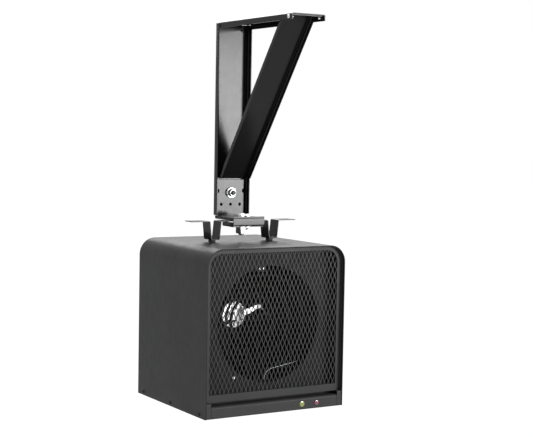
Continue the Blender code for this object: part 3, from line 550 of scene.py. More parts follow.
def make_brace():
    """Stepped channel on the slant, trimmed level at the foot, with its tongue under the arm."""
    low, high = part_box("brace")
    top = high.z
    foot = Vector((0.0468, low.z))
    nose = Vector((-0.2126, -0.0026))
    run = (nose - foot).normalized()
    out = Vector((-run.y, run.x))
    spare = run * 0.04
    start, end = foot - spare, nose + spare

    def place(u, v, w):
        at = start + (end - start) * w + out * v
        return Vector((u, at.x, at.y))

    bm = extrude(folded(joggled_path(0.0355, 0.016, 0.008), HEAVY), 0.0, 1.0, place)
    brace = piece("brace_shell", bm, BLACK, "bracket", ("brace",), EDGE)
    before, behind, below, wide = -0.33, 0.12, -0.46, 0.07
    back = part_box("column")[1].y - HEAVY - 0.0003
    cuts = block((-CLEAR, before, top), (CLEAR, 0.1, 0.06))
    block((-CLEAR, back, -0.45), (CLEAR, behind, -0.0001), cuts)
    pierce(brace, cuts)
    pierce(brace, block((-wide, -0.02, below), (wide, behind, low.z)))
    flange_clear = back + HEAVY - 0.010
    sides = bmesh.new()
    for _, _, low_x, high_x in both_sides(0.0357, wide):
        block((low_x, flange_clear, below), (high_x, behind, 0.01), sides)
    pierce(brace, sides)
    reach, tab, cheeks_end = 0.0382, -0.0120, -0.2410
    channel = folded([(-reach, tab), (-reach, top), (reach, top), (reach, tab)], -HEAVY, 0.0006)
    tongue = extrude(channel, low.y, nose.x + 0.006, "Y")
    plate = piece("brace_tongue", tongue, BLACK, "bracket", (), EDGE)
    holes = block((-CLEAR, cheeks_end, -0.03), (CLEAR, 0.0, top - HEAVY))
    screw = middle("brace_screw_left")
    drill(holes, SCREW_HOLE, (screw.y, screw.z), 0, "X", 16, CLEAR)
    pierce(plate, holes)
    return brace


def hex_ring(bm, radius, limit, z, steps=24):
    """Ring of a hexagon whose corners are turned down to the limit radius."""
    flat = radius * math.cos(math.pi / 6)
    ring = []
    for i in range(steps):
        angle = 2 * math.pi * i / steps
        reach = min(limit, flat / math.cos(angle % (math.pi / 3) - math.pi / 6))
        ring.append(bm.verts.new((reach * math.cos(angle), reach * math.sin(angle), z)))
    return ring


def round_ring(bm, radius, z, steps=24):
    return [bm.verts.new((x, y, z)) for x, y in circle(radius, steps)]


def thread_rings(bm, radius, start, end, pitch):
    """Crest and root rings of a screw thread, walked from start to end along local Z."""
    sign = 1 if end > start else -1
    count = int(abs(end - start) / pitch)
    rings = []
    for k in range(count):
        z = start + sign * pitch * k
        rings.append(round_ring(bm, radius, z + sign * pitch * 0.15))
        rings.append(round_ring(bm, radius * 0.90, z + sign * pitch * 0.55))
    rings.append(round_ring(bm, radius * 0.88, end))
    return rings


def hex_bolt(node, body, matrix, radius, height, shank, length, threaded, mat=ZINC):
    """Bolt with its head above local z = 0; the last stretch of the shank is threaded."""
    bm = bmesh.new()
    flat = radius * math.cos(math.pi / 6)
    start = threaded - length
    shank_rings = [round_ring(bm, shank, -0.0001), round_ring(bm, shank, start)]
    thread = thread_rings(bm, shank, start - 0.0002, -length, 0.00125)
    rings = [*reversed(thread), *reversed(shank_rings), hex_ring(bm, radius, flat * 0.97, 0.0),
             hex_ring(bm, radius, radius, height * 0.08), hex_ring(bm, radius, radius, height * 0.80),
             hex_ring(bm, radius, flat * 0.95, height * 0.97), round_ring(bm, flat * 0.86, height)]
    capped(bm, rings)
    bm.transform(matrix)
    return piece(node + "_shell", bm, mat, body, (node,))


def hex_nut(node, body, matrix, radius, bore, height, mat=ZINC):
    bm = bmesh.new()
    flat = radius * math.cos(math.pi / 6)
    edge = 0.0010
    rings = [hex_ring(bm, radius, flat * 0.95, 0.0), hex_ring(bm, radius, radius, edge),
             hex_ring(bm, radius, radius, height - edge), hex_ring(bm, radius, flat * 0.95, height),
             round_ring(bm, bore * 1.12, height), round_ring(bm, bore, height - edge / 2),
             round_ring(bm, bore, edge / 2), round_ring(bm, bore * 1.12, 0.0)]
    skin(bm, rings, closed=True)
    bm.transform(matrix)
    return piece(node + "_shell", bm, mat, body, (node,))


def cap_nut(node, body, top, bottom):
    """Domed nut that covers the end of its bolt."""
    bm = bmesh.new()
    radius, bore, edge = 0.0080, 0.0048, 0.0008
    flat = radius * math.cos(math.pi / 6)
    dome = ((0.0068, 0.0050), (0.0066, 0.0034), (0.0058, 0.0018), (0.0040, 0.0005), (0.0014, 0.0))
    rings = [round_ring(bm, bore, bottom + 0.0015), round_ring(bm, bore, top),
             hex_ring(bm, radius, flat * 0.95, top), hex_ring(bm, radius, radius, top - edge),
             hex_ring(bm, radius, radius, top - 0.0062), hex_ring(bm, radius, flat * 0.95, top - 0.0070),
             round_ring(bm, 0.0068, top - 0.0071)]
    rings += [round_ring(bm, reach, bottom + height) for reach, height in dome]
    capped(bm, rings)
    return piece(node + "_shell", bm, ZINC, body, (node,))


def washer(node, body, matrix, bore, radius, thickness):
    edge = 0.00025
    profile = [(bore, edge), (bore + edge, 0), (radius - edge, 0), (radius, edge), (radius, thickness - edge),
               (radius - edge, thickness), (bore + edge, thickness), (bore, thickness - edge)]
    bm = lathe(profile, 48)
    bm.transform(matrix)
    return piece(node + "_shell", bm, ZINC, body, (node,))


FORWARD = Matrix.Rotation(math.radians(90), 4, "X")
BACKWARD = Matrix.Rotation(math.radians(-90), 4, "X")


def make_level_fasteners():
    at_z = middle("level_bolt").z
    low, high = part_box("level_bolt")
    head_height = 0.0062
    head = high.y - head_height
    place = Matrix.Translation((0, head, at_z)) @ BACKWARD
    hex_bolt("level_bolt", "bracket", place, 0.0098, head_height, 0.0048,
             head - low.y, 0.016, OXIDE)
    low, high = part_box("level_washer")
    washer("level_washer", "bracket", Matrix.Translation((0, high.y, at_z)) @ FORWARD, 0.0051, 0.0118,
           high.y - low.y)
    low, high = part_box("level_nut")
    upright = Matrix.Rotation(math.radians(30), 4, "Z")
    hex_nut("level_nut", "bracket", Matrix.Translation((0, high.y, at_z)) @ FORWARD @ upright, 0.0092, 0.0049,
            high.y - low.y, DULL_ZINC)


def make_swivel_fasteners():
    head_height = 0.0060
    low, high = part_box("swivel_washer")
    washer("swivel_washer", "saddle", Matrix.Translation((0, 0, low.z)), 0.0051, 0.0086, high.z - low.z)
    low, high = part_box("swivel_bolt")
    head = high.z - head_height
    hex_bolt("swivel_bolt", "saddle", Matrix.Translation((0, 0, head)), 0.0079, head_height, 0.0047,
             head - low.z - 0.0012, 0.022)
    cap_nut("swivel_nut", "saddle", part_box("swivel_nut")[1].z, low.z - 0.0007)
    low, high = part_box("lock_bolt")
    x, head = (low.x + high.x) / 2, high.z - head_height
    hex_bolt("lock_bolt", "saddle", Matrix.Translation((x, 0, head)), 0.0060, head_height, 0.0028, head - low.z,
             0.016)
    low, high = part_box("lock_nut")
    hex_nut("lock_nut", "saddle", Matrix.Translation((x, 0, low.z)), 0.0054, 0.0029, high.z - low.z)


# ---- saddle and hanger

def make_saddle():
    low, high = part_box("saddle")
    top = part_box("swivel_washer")[0].z - 0.0003
    level_z = middle("level_bolt").z
    back = high.y
    upstand_half, lip, notch = 0.0344, 0.0045, 0.0052
    path = [(low.y + lip, low.z), (low.y, low.z), (low.y, top), (back, top), (back, high.z)]
    bm = extrude(folded(path, -HEAVY, 0.0002), low.x, high.x, "X")
    saddle = piece("saddle_shell", bm, BLACK, "saddle", ("saddle",), EDGE)
    for name, _, low_x, high_x in both_sides(high.x - HEAVY, high.x):
        skirt = block((low_x, low.y + 0.0012, top - SKIRT_DEPTH), (high_x, back, top - HEAVY + 0.0002))
        piece("saddle_skirt_" + name, skirt, BLACK, "saddle", (), EDGE)
    rim = block((low.x, low.y + 0.0001, top - 0.0005), (high.x, low.y + 0.0013, top + 0.0026))
    piece("saddle_rim", rim, BLACK, "saddle", (), EDGE)
    cuts = bmesh.new()
    for _, _, low_x, high_x in both_sides(upstand_half, CLEAR):
        block((low_x, back - THROUGH, top + 0.0005), (high_x, back + THROUGH, high.z + THROUGH), cuts)
    pierce(saddle, cuts)
    holes = bmesh.new()
    for side in (-1, 1):
        drill(holes, notch, (side * upstand_half, level_z + 0.004), back, "Y")
    drill(holes, 0.0051, (0, level_z), back, "Y")
    for x in (-0.024, 0, 0.024):
        drill(holes, SMALL_HOLE, (x, level_z - 0.0265), back, "Y", 20)
    drill(holes, SWIVEL_HOLE, (0, 0), top, "Z")
    drill(holes, LOCK_HOLE, (middle("lock_bolt").x, 0), top, "Z", 20)
    return pierce(saddle, holes)


def make_clamp():
    """Tray below the saddle, with its front wall and cheeks, and the stop tongue under it."""
    low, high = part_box("clamp_plate")
    floor = low.z + 0.0160
    half_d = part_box("hanger_strip")[1].y
    wall_back = -half_d + 0.0002
    path = [(low.x, high.z), (low.x, floor), (high.x, floor), (high.x, high.z)]
    bm = extrude(folded(path, HEAVY), -half_d, half_d, "Y")
    tray = piece("clamp_tray", bm, BLACK, "saddle", ("clamp_plate",), EDGE)
    under, over = floor - THROUGH, floor + 0.008
    holes = extrude(circle(SWIVEL_HOLE, 24), under, over, "Z")
    extrude(circle(LOCK_HOLE, 20, (middle("lock_bolt").x, 0)), under, over, "Z", holes)
    pierce(tray, holes)
    front = block((low.x, low.y, floor), (high.x, wall_back, floor + HEAVY))
    piece("clamp_front", front, BLACK, "saddle", (), EDGE)
    for name, _, low_x, high_x in both_sides(high.x - HEAVY, high.x):
        cheek = block((low_x, low.y, floor + HEAVY - 0.0002), (high_x, wall_back, high.z))
        piece("clamp_cheek_" + name, cheek, BLACK, "saddle", (), EDGE)
    near, far, corner, root = -0.0168, 0.0032, 0.0030, floor + 0.0004
    outline = [(far, root), (near, root)]
    outline += arc((near + corner, low.z + corner), corner, 180, 270, 6)
    outline += arc((far - corner, low.z + corner), corner, 270, 360, 6)
    piece("stop_tongue", extrude(outline, -0.0119, -0.0099, "X"), BLACK, "saddle", (), EDGE)
    return tray


def make_hanger():
    """Strip folded down into two feet, with the arc for the lock bolt and two long slots."""
    low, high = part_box("hanger_strip")
    top, foot = high.z, low.z + HEAVY
    foot_x = middle("hanger_screw_right").x
    foot_half = 0.0090
    right = [(foot_x - 0.0132, top), (foot_x - foot_half, foot), (foot_x + foot_half, foot),
             (foot_x + 0.0134, top), (high.x, top)]
    path = [(-x, z) for x, z in reversed(right)] + right
    bm = extrude(folded(path, -HEAVY, 0.0018), low.y, high.y, "Y")
    hanger = piece("hanger_shell", bm, BLACK, "heater", ("hanger_strip",), EDGE)
    lock_x, half_slot, sweep = middle("lock_bolt").x, 0.0033, 31.5
    cuts = drill(None, 0.0053, (0, 0), top, "Z")
    outer = arc((0, 0), lock_x + half_slot, -sweep, sweep, 16)
    inner = arc((0, 0), lock_x - half_slot, sweep, -sweep, 16)
    extrude(outer + inner, top - THROUGH, top + THROUGH, "Z", cuts)
    for side in (-1, 1):
        drill(cuts, FOOT_HOLE, (side * foot_x, 0), foot, "Z", 20)
        extrude(long_slot(side * 0.112, 0, 0.007, 0.003), top - THROUGH, top + THROUGH, "Z", cuts)
    return pierce(hanger, cuts)


def cross_screw(node, body, mat, matrix, head, height, shank, length):
    """Domed head with a driver cross pressed into it."""
    crown = head * 1.9
    dome = arc((0, height - crown), crown, 90, 63, 6)
    profile = [(0, -length), (shank, -length), (shank, -0.0001), (head * 0.98, 0), (head, height * 0.2)]
    profile += [(u, v) for u, v in reversed(dome) if v > height * 0.25]
    screw = piece(node + "_shell", lathe(profile, 32), mat, body, (node,))
    long, thin = head * 0.55, head * 0.13
    for u, v in ((long, thin), (thin, long)):
        pierce(screw, block((-u, -v, height * 0.35), (u, v, height * 2)))
    screw.data.transform(matrix)
    return screw


def make_hanger_screws():
    head_height, edge, inner = 0.0038, 0.0008, 0.0032
    for side in ("left", "right"):
        low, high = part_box("hanger_screw_" + side)
        x, seat = (low.x + high.x) / 2, high.z - head_height
        place = Matrix.Translation((x, 0, seat))
        cross_screw("hanger_screw_" + side, "heater", OXIDE, place, 0.0055, head_height,
                    0.0026, seat - low.z)
        low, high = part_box("spacer_" + side)
        outer, height = (high.x - low.x) / 2, high.z - low.z
        profile = [(inner, 0), (outer - edge, 0), (outer, edge), (outer, height - edge), (outer - edge, height),
                   (inner, height)]
        bm = lathe(profile, 48)
        bm.transform(Matrix.Translation((x, 0, low.z)))
        piece(f"spacer_{side}_shell", bm, RUBBER, "heater", ("spacer_" + side,))


def make_brace_screws():
    for side, sign in (("left", -1), ("right", 1)):
        at = middle("brace_screw_" + side)
        seat = sign * (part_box("arm")[1].x + 0.0003)
        matrix = Matrix.Translation((seat, at.y, at.z)) @ Matrix.Rotation(math.radians(90) * sign, 4, "Y")
        cross_screw("brace_screw_" + side, "bracket", ZINC, matrix, 0.0044, 0.0026, 0.0021, 0.0095)


# ---- case

def make_wrap():
    """Inverted U, with a hem and a lining inside its front edge and a hem inside its rear edge; the front hem
    is matt black, painted shade for the gap round the front frame.
    """
    low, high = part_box("wrap")
    half, top, radius = high.x, high.z, 0.038

    def shell(inset, bottom, start, end):
        outlines = [rounded_top(half - d, bottom, top - d, radius - d, 24) for d in (inset, inset + LIGHT)]
        return extrude(outlines[0] + outlines[1][::-1], start, end, "Y")

    wrap = piece("case_wrap", shell(0.0, low.z, low.y, high.y), GREY, "heater", ("wrap",), 0.0004, 3)
    holes = bmesh.new()
    foot_x = middle("hanger_screw_right").x
    for side in (-1, 1):
        drill(holes, FOOT_HOLE, (side * foot_x, 0), top, "Z", 20)
    for index in (1, 2, 3):
        screw = middle(f"side_screw_left_{index}")
        drill(holes, 0.0023, (screw.y, screw.z), 0, "X", 16, 0.2)
    pierce(wrap, holes)
    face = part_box("front_frame")[0].y - 0.0001
    # The front hem's matt black is painted shade: the dark gap between the wrap's front edge and the recessed
    # front frame.
    hems = (("front_hem_painted_shade", low.y, face - 0.0055, MATT), ("front_lining", face - 0.0054, face, GREY),
            ("rear_hem", high.y - 0.0036, high.y, GREY))
    for name, start, end, mat in hems:
        piece(name, shell(LIGHT, low.z + 0.001, start, end), mat, "heater", (), EDGE)


def make_side_screws():
    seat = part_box("wrap")[1].x + 0.0001
    for side, sign in (("left", -1), ("right", 1)):
        turn = Matrix.Rotation(math.radians(90) * sign, 4, "Y")
        for index in (1, 2, 3):
            node = f"side_screw_{side}_{index}"
            at = middle(node)
            matrix = Matrix.Translation((sign * seat, at.y, at.z)) @ turn
            cross_screw(node, "heater", GREY, matrix, 0.0040, 0.0024, 0.0019, 0.0080)


def make_front_frame():
    """Pressed pan: window edge rolled inwards, outer corners rounded, rim turned back."""
    low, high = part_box("front_frame")
    half, radius = high.x, 0.0365
    side_rail, top_rail, bottom_rail, window_radius = 0.0125, 0.0100, 0.016, 0.0265
    inner = low.y + LIGHT
    outer = rounded_top(half, low.z, high.z, radius, 24)
    hollow = rounded_top(half - LIGHT, low.z + LIGHT, high.z - LIGHT, radius - LIGHT, 24)
    window = rounded_top(half - side_rail, low.z + bottom_rail, high.z - top_rail, window_radius, 24)
    bm = bmesh.new()
    loops = ((outer, high.y), (outer, low.y), (window, low.y), (window, inner), (hollow, inner),
             (hollow, high.y))
    skin(bm, [[bm.verts.new((x, y, z)) for x, z in outline] for outline, y in loops], closed=True)
    return piece("frame_pan", bm, GREY, "heater", ("front_frame",), 0.0005, 3)


def make_mesh_front():
    """Expanded metal: zigzag strands that meet at long bonds and leave tall diamonds."""
    low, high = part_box("grille")
    pitch_x, pitch_z = 0.01060, 0.02360
    width, bond, depth = 0.0016, 0.0030, 0.0017
    corner = 0.0350
    levels = int((high.z - low.z) / (pitch_z / 2)) + 2
    strands = int((high.x - low.x) / (pitch_x / 2))
    section = ((-0.50, 1.0), (-0.42, 0.30), (-0.26, 0.0), (0.26, 0.0), (0.42, 0.30), (0.50, 1.0))
    bm = bmesh.new()
    for k in range(strands):
        centre = (k - (strands - 1) / 2) * pitch_x / 2
        inset = max(0.0, abs(centre) + pitch_x / 4 - (high.x - corner))
        ceiling = high.z - corner + math.sqrt(max(0.0, corner ** 2 - inset ** 2)) - 0.0005
        path = []
        for m in range(levels):
            side = 1 if (k + m) % 2 else -1
            x = centre + side * (pitch_x / 4 - width / 2)
            z = low.z + m * pitch_z / 2
            path += [(x, z - bond / 2), (x, z + bond / 2)]
        rings = [[bm.verts.new((x + u * width, low.y + v * depth, z)) for u, v in section]
                 for x, z in clip_path(path, low.z, ceiling)]
        capped(bm, rings)
    return piece("expanded_mesh", bm, MESH, "heater", ("grille",), smooth=50)


def clip_path(path, floor, ceiling):
    """The part of a rising polyline between two heights."""
    kept = []
    for (x0, z0), (x1, z1) in zip(path, path[1:]):
        if z1 <= floor or z0 >= ceiling:
            continue
        start, end = max(z0, floor), min(z1, ceiling)
        run = (x1 - x0) / (z1 - z0)
        if not kept:
            kept.append((x0 + run * (start - z0), start))
        kept.append((x0 + run * (end - z0), end))
    return kept


def make_control_strip():
    """Strip with its lamp holes, set between two foot plates of the front frame."""
    low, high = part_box("control_strip")
    ledge, half, foot_top = high.z - 0.017, 0.1585, -0.8140
    path = [(low.y, low.z), (low.y, ledge), (high.y, ledge), (high.y, high.z)]
    bm = extrude(folded(path, -LIGHT, 0.0034, 8), -half, half, "X")
    strip = piece("strip_shell", bm, GREY, "heater", ("control_strip",), EDGE)
    foot_path = [(low.y, low.z), (low.y, foot_top), (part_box("front_frame")[0].y - 0.0002, foot_top)]
    for name, _, low_x, high_x in both_sides(half + 0.0005, high.x + 0.0002):
        foot = extrude(folded(foot_path, -LIGHT, 0.0020), low_x, high_x, "X")
        piece("frame_foot_" + name, foot, GREY, "heater", (), EDGE)
    holes = bmesh.new()
    for node in ("lens_green", "lens_red"):
        a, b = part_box(node)
        at = (a + b) / 2
        drill(holes, (b.x - a.x) / 2 - 0.0012, (at.x, at.z), low.y, "Y")
    return pierce(strip, holes)


def make_lens(node, mat):
    low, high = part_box(node)
    radius, tail, rim = (high.x - low.x) / 2, -0.0110, 0.0004
    neck = radius - 0.0015
    angles = [i * math.pi / 16 for i in range(1, 8)]
    dome = [(radius * math.cos(a), rim + 0.0009 * math.sin(a)) for a in angles]
    bm = lathe([(0, tail), (neck, tail), (neck, 0), (radius, 0), (radius, rim), *dome, (0, 0.0013)], 32)
    at = (low + high) / 2
    bm.transform(Matrix.Translation((at.x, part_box("control_strip")[0].y - 0.0001, at.z)) @ FORWARD)
    return piece(node + "_dome", bm, mat, "heater", (node,))


# ---- heat

def ring_path(node):
    """Centre line of an element: up one leg, round, and down the other."""
    low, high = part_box(node)
    tube = (high.y - low.y) / 2
    radius = (high.x - low.x) / 2 - tube
    y = (low.y + high.y) / 2
    axis_z = middle("fan_wheel").z
    leg, leg_steps, ring_steps = 0.014, 12, 72
    opening = math.asin(leg / radius)
    start, sweep = math.radians(270) + opening, 2 * (math.pi - opening)
    foot = low.z + 0.001
    join = axis_z + radius * math.sin(start)
    points = [Vector((leg, y, foot + (join - foot) * k / leg_steps)) for k in range(leg_steps)]
    for k in range(ring_steps + 1):
        angle = start + sweep * k / ring_steps
        points.append(Vector((radius * math.cos(angle), y, axis_z + radius * math.sin(angle))))
    for k in range(1, leg_steps + 1):
        points.append(Vector((-leg, y, join + (foot - join) * k / leg_steps)))
    return points


def along(points, spacing):
    """Evenly spaced (point, tangent) pairs on a polyline."""
    lengths = [0.0]
    for a, b in zip(points, points[1:]):
        lengths.append(lengths[-1] + (b - a).length)
    count = int(lengths[-1] / spacing)
    result = []
    index = 0
    for k in range(count + 1):
        distance = lengths[-1] * k / count
        while index < len(points) - 2 and lengths[index + 1] < distance:
            index += 1
        run = points[index + 1] - points[index]
        share = (distance - lengths[index]) / run.length
        result.append((points[index] + run * share, run.normalized()))
    return result


def make_element(index):
    """Steel sheath with a narrow fin wound round it."""
    node = f"element_{index}"
    points = ring_path(node)
    sheath, fin, half = 0.0027, 0.0041, 0.00018
    root = sheath * 0.96
    forward = Vector((0, 1, 0))
    bm = bmesh.new()
    rings = []
    for point, tangent in along(points, 0.006):
        side = tangent.cross(forward)
        rings.append([bm.verts.new(point + side * u + forward * v) for u, v in circle(sheath, 12)])
    capped(bm, rings)
    per_turn, pitch = 12, 0.0032
    strip = []
    for k, (point, tangent) in enumerate(along(points, pitch / per_turn)):
        angle = 2 * math.pi * k / per_turn
        side = tangent.cross(forward)
        spoke = side * math.cos(angle) + forward * math.sin(angle)
        corners = ((root, -half), (fin, -half * 0.7), (fin, half * 0.7), (root, half))
        strip.append([bm.verts.new(point + spoke * reach + tangent * shift) for reach, shift in corners])
    capped(bm, strip)
    return piece(f"finned_ring_{index}", bm, HEATED, "heater", (node,), smooth=50)


def make_combs():
    """Slim bars along the line of the ring seats, inside the outline of the CAD plates."""
    low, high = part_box("element_comb_left")
    tab = [(-0.1310, -0.1045), (-0.1470, -0.1045), (-0.1470, -0.1265), (-0.1310, -0.1265), (-0.1310, -0.1185)]
    bar = [(-0.1121, -0.1185), (-0.0401, -0.0551), (-0.0513, -0.0423), (-0.1310, -0.1124)]
    seats = ((-0.1040, -0.1000), (-0.0790, -0.0780), (-0.0540, -0.0560))
    for side, name in ((1, "left"), (-1, "right")):
        plan = extrude([(side * x, y) for x, y in tab + bar], low.z, high.z, "Z")
        comb = piece("ring_comb_" + name, plan, HEATED, "heater", ("element_comb_" + name,), 0.0002)
        holes = bmesh.new()
        for x, y in seats:
            extrude(circle(0.0050, 24, (side * x, y)), low.z - 0.003, high.z + 0.003, "Z", holes)
        pierce(comb, holes)


def smoothed(points, steps=8):
    """Curve through all the points."""
    points = [Vector(p) for p in points]
    padded = [points[0] * 2 - points[1], *points, points[-1] * 2 - points[-2]]
    curve = []
    for a, b, c, d in zip(padded, padded[1:], padded[2:], padded[3:]):
        for k in range(steps):
            u = k / steps
            bend = (a * 2 - b * 5 + c * 4 - d) * u ** 2 + (b * 3 - a - c * 3 + d) * u ** 3
            curve.append((b * 2 + (c - a) * u + bend) * 0.5)
    return curve + [points[-1]]


def rod(name, curve, radii, mat):
    """Round rod along a curve; radii are (share of the way, radius)."""
    bm = bmesh.new()
    side = Vector((0.0, 0.6, 0.8))
    last = len(curve) - 1
    rings = []
    for i, point in enumerate(curve):
        tangent = (curve[min(i + 1, last)] - curve[max(i - 1, 0)]).normalized()
        side = (side - tangent * side.dot(tangent)).normalized()
        other = tangent.cross(side)
        share = i / last
        for (start, r0), (end, r1) in zip(radii, radii[1:]):
            if start <= share <= end:
                radius = r0 + (r1 - r0) * (share - start) / (end - start)
        rings.append([bm.verts.new(point + (side * v + other * u)) for u, v in circle(radius, 12)])
    capped(bm, rings)
    return piece(name, bm, mat, "heater", smooth=60)


def make_sensor():
    """Thermostat bulb before the fan hub with its shield, bracket and capillary."""
    y = 0.0115
    bulb = smoothed([(0.017, y, -0.652), (0.030, y, -0.649), (0.041, y, -0.645), (0.050, y, -0.641),
                     (0.060, y, -0.642), (0.068, y, -0.650)])
    radii = ((0.0, 0.0012), (0.03, 0.0024), (0.08, 0.0028), (0.60, 0.0028), (0.92, 0.0022), (0.97, 0.0018),
             (1.0, 0.0011))
    rod("sensor_bulb", bulb, radii, SPUN)
    bm = bmesh.new()
    wide, narrow, gauge, gap, slant = 0.0066, 0.0026, 0.0008, 0.0032, 0.15
    rings = []
    for i, point in enumerate(bulb):
        half = wide + (narrow - wide) * i / (len(bulb) - 1)
        corners = ((-half, 0.0), (half, 0.0), (half, gauge), (-half, gauge))
        rings.append([bm.verts.new((point.x, y - gap - v + u * slant, point.z + u)) for u, v in corners])
    capped(bm, rings)
    piece("sensor_shield", bm, SPUN, "heater", (), 0.0002)

    # The capillary goes round the rings, then in a straight run before them, one bend and a drop to the floor
    front, bend, drop_x, run_z, floor_z = -0.1085, 0.022, 0.002, -0.761, -0.811
    round_rings = [(0.068, y, -0.650), (0.086, 0.008, -0.668), (0.100, -0.010, -0.690),
                   (0.105, -0.050, -0.715), (0.101, -0.085, -0.734), (0.091, -0.104, -0.7475),
                   (0.079, front, -0.752), (0.064, front, -0.7545)]
    corner = arc((drop_x + bend, run_z - bend), bend, 99, 180, 12)
    before_rings = [Vector((x, front, z)) for x, z in [*corner, (drop_x, floor_z)]]
    rod("sensor_capillary", smoothed(round_rings) + before_rings, ((0.0, 0.0011), (1.0, 0.0011)), DULL_ZINC)

    arm = folded([(-0.060, -0.6584), (y, -0.6584), (y, -0.6478)], 0.0010, 0.0010)
    piece("sensor_bracket", extrude(arm, 0.040, 0.046, "X"), HEATED, "heater")


def make_rivets():
    """Clip for the largest ring with its two rivets, and the earth rivet in the baffle."""
    baffle_front, baffle_back = (corner.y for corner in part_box("baffle"))
    seat, clip_top = -0.1068, -0.5170
    clip = folded([(baffle_back + 0.0002, clip_top), (seat, clip_top), (seat, -0.5474)], -0.0010, 0.0010)
    piece("ring_clip", extrude(clip, -0.0175, 0.0025, "X"), HEATED, "heater", (), 0.0002)
    dome = [(0.0029, 0), (0.0029, 0.0004), (0.0024, 0.0009), (0.0012, 0.0012), (0, 0.0012), (0, 0)]
    taller = Matrix.Scale(1.5, 4, (0, 1, 0))
    rivets = (("clip_rivet_1", (-0.0128, seat, -0.5405), taller),
              ("clip_rivet_2", (-0.0030, seat, -0.5405), taller),
              ("earth_rivet", (-0.086, baffle_front, -0.771), Matrix()))
    for name, at, shape in rivets:
        rivet = lathe(dome, 24)
        rivet.transform(Matrix.Translation(at) @ FORWARD @ shape)
        piece(name, rivet, SPUN, "heater")


# ---- fan

def make_fan():
    """Stamped wheel carried over from CAD, with a ridged cap over its middle."""
    refined("fan_wheel", WHEEL, "fan", 0.0, "fan_shell")
    profile = [(0, 0), (0.0300, 0), (0.0300, 0.0022), (0.0291, 0.0030), (0.0262, 0.0031), (0.0252, 0.0008),
               (0.0236, 0.0008), (0.0226, 0.0032), (0.0168, 0.0040), (0.0158, 0.0018), (0.0144, 0.0018),
               (0.0134, 0.0041), (0.0066, 0.0049), (0.0056, 0.0024), (0, 0.0022)]
    bm = lathe(profile, 64)
    bm.transform(Matrix.Translation((0, 0.0295, middle("fan_wheel").z)) @ FORWARD)
    return piece("hub_cap", bm, SPUN, "fan")


def make_rear_louvres():
    """Sloping slats inside the rear guard, closed to a level line of sight."""
    low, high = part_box("rear_guard")
    inner, outer, rise, pitch, half_w, gauge = low.y - 0.0112, low.y - 0.0008, 0.0104, 0.0072, 0.1280, 0.0007
    bm = bmesh.new()
    for i in range(int((high.z - low.z - 0.012) / pitch)):
        z = low.z + 0.001 + pitch * i
        slat = [(outer, z), (outer, z + gauge), (inner, z + rise + gauge), (inner, z + rise)]
        extrude(slat, -half_w, half_w, "X", bm)
    piece("rear_louvres", bm, MATT, "heater")


def carry_over():
    """CAD nodes whose shape is right: rounded edges and their own finish."""
    finishes = (
        (GREY, ("base_panel", "back_panel", "wiring_cover"), EDGE),
        (MATT, ("chamber_floor", "rear_guard"), EDGE),
        (ZINC, ("cable_gland",), 0.0004),
        (CERAMIC, ("ceramic_block", "terminal_block"), 0.0006),
        (PLASTIC, ("relay",), 0.0008),
        (STEEL, ("limit_thermostat", "motor_strap_lower", "motor_strap_upper", "motor_shell", "bearing_front",
                 "bearing_back"), EDGE),
        (ALUMINIUM, ("motor_front_cap", "motor_back_cap"), 0.0006),
        (COPPER, ("stator",), 0.0010),
    )
    for mat, nodes, bevel in finishes:
        for node in nodes:
            refined(node, mat, "heater", bevel)
    for node in ("rotor", "motor_shaft", "fan_boss"):
        refined(node, STEEL, "fan")


# ---- studio

def camera_axes():
    flat = math.cos(CAMERA_PITCH)
    forward = Vector((math.sin(CAMERA_YAW) * flat, math.cos(CAMERA_YAW) * flat, math.sin(CAMERA_PITCH)))
    level = Vector((math.cos(CAMERA_YAW), -math.sin(CAMERA_YAW), 0.0))
    above = level.cross(forward)
    right = level * math.cos(CAMERA_ROLL) + above * math.sin(CAMERA_ROLL)
    up = above * math.cos(CAMERA_ROLL) - level * math.sin(CAMERA_ROLL)
    return right, up, -forward


def make_camera():
    data = bpy.data.cameras.new("camera")
    data.sensor_width = 36.0
    data.lens = CAMERA_LENS
    data.clip_end = 200.0
    camera = bpy.data.objects.new("camera", data)
    bpy.context.scene.collection.objects.link(camera)
    axes = Matrix(camera_axes()).transposed().to_4x4()
    camera.matrix_world = Matrix.Translation(CAMERA_AT) @ axes
    bpy.context.scene.camera = camera


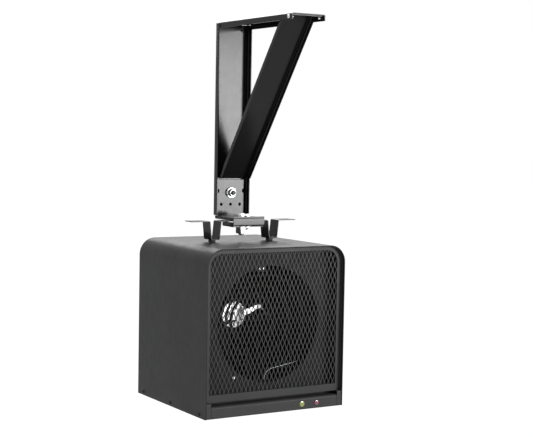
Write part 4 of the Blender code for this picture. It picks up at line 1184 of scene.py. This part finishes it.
def soft_light(name, at, target_z, width, height, power, spread=180.0):
    data = bpy.data.lights.new(name, "AREA")
    data.shape = "RECTANGLE"
    data.size, data.size_y = width, height
    data.energy = power
    data.spread = math.radians(spread)
    light = bpy.data.objects.new(name, data)
    bpy.context.scene.collection.objects.link(light)
    light.location = at
    light.rotation_mode = "QUATERNION"
    light.rotation_quaternion = (Vector((0, 0, target_z)) - Vector(at)).to_track_quat("-Z", "Y")


def make_studio():
    world = bpy.data.worlds.new("studio")
    world.use_nodes = True
    background = world.node_tree.nodes["Background"]
    background.inputs["Color"].default_value = (1.0, 1.0, 1.0, 1.0)
    background.inputs["Strength"].default_value = 1.0
    bpy.context.scene.world = world
    bpy.context.scene.view_settings.view_transform = "Standard"

    half = FLOOR_SIZE / 2
    mesh = bpy.data.meshes.new("floor")
    corners = ((-half, -half), (half, -half), (half, half), (-half, half))
    mesh.from_pydata([(x, y, FLOOR_Z) for x, y in corners], [], [(0, 1, 2, 3)])
    floor = bpy.data.objects.new("floor", mesh)
    bpy.context.scene.collection.objects.link(floor)
    paint = Nodes("floor_paint", (0.92, 0.92, 0.92), 0.9, specular=0.1)
    paint.set("Emission Color", (1.0, 1.0, 1.0, 1.0))
    paint.set("Emission Strength", 0.12)
    mesh.materials.append(paint.material)

    # Name, place, height that it looks at, width, height, watts, spread in degrees
    soft_light("front_right_bank", (1.44, -2.5, -0.24), -0.24, 1.1, 0.95, 38.0, 90.0)
    soft_light("back_bank", (0.45, 0.9, 0.45), -0.5, 1.2, 1.2, 26.0)
    soft_light("top_left_bank", (-0.7, 0.3, 0.9), -0.6, 1.0, 1.0, 16.0)


# ---- assembly

make_camera()
make_studio()

make_arm()
make_column()
make_brace()
make_brace_screws()
make_level_fasteners()
make_saddle()
make_clamp()
make_swivel_fasteners()
make_hanger()
make_hanger_screws()

make_wrap()
make_side_screws()
make_front_frame()
make_mesh_front()
make_control_strip()
make_lens("lens_green", GREEN)
make_lens("lens_red", RED)
refined("baffle", MATT, "heater", 0.0)
for ring in (1, 2, 3):
    make_element(ring)
make_combs()
make_sensor()
make_rivets()
make_fan()
make_rear_louvres()
carry_over()
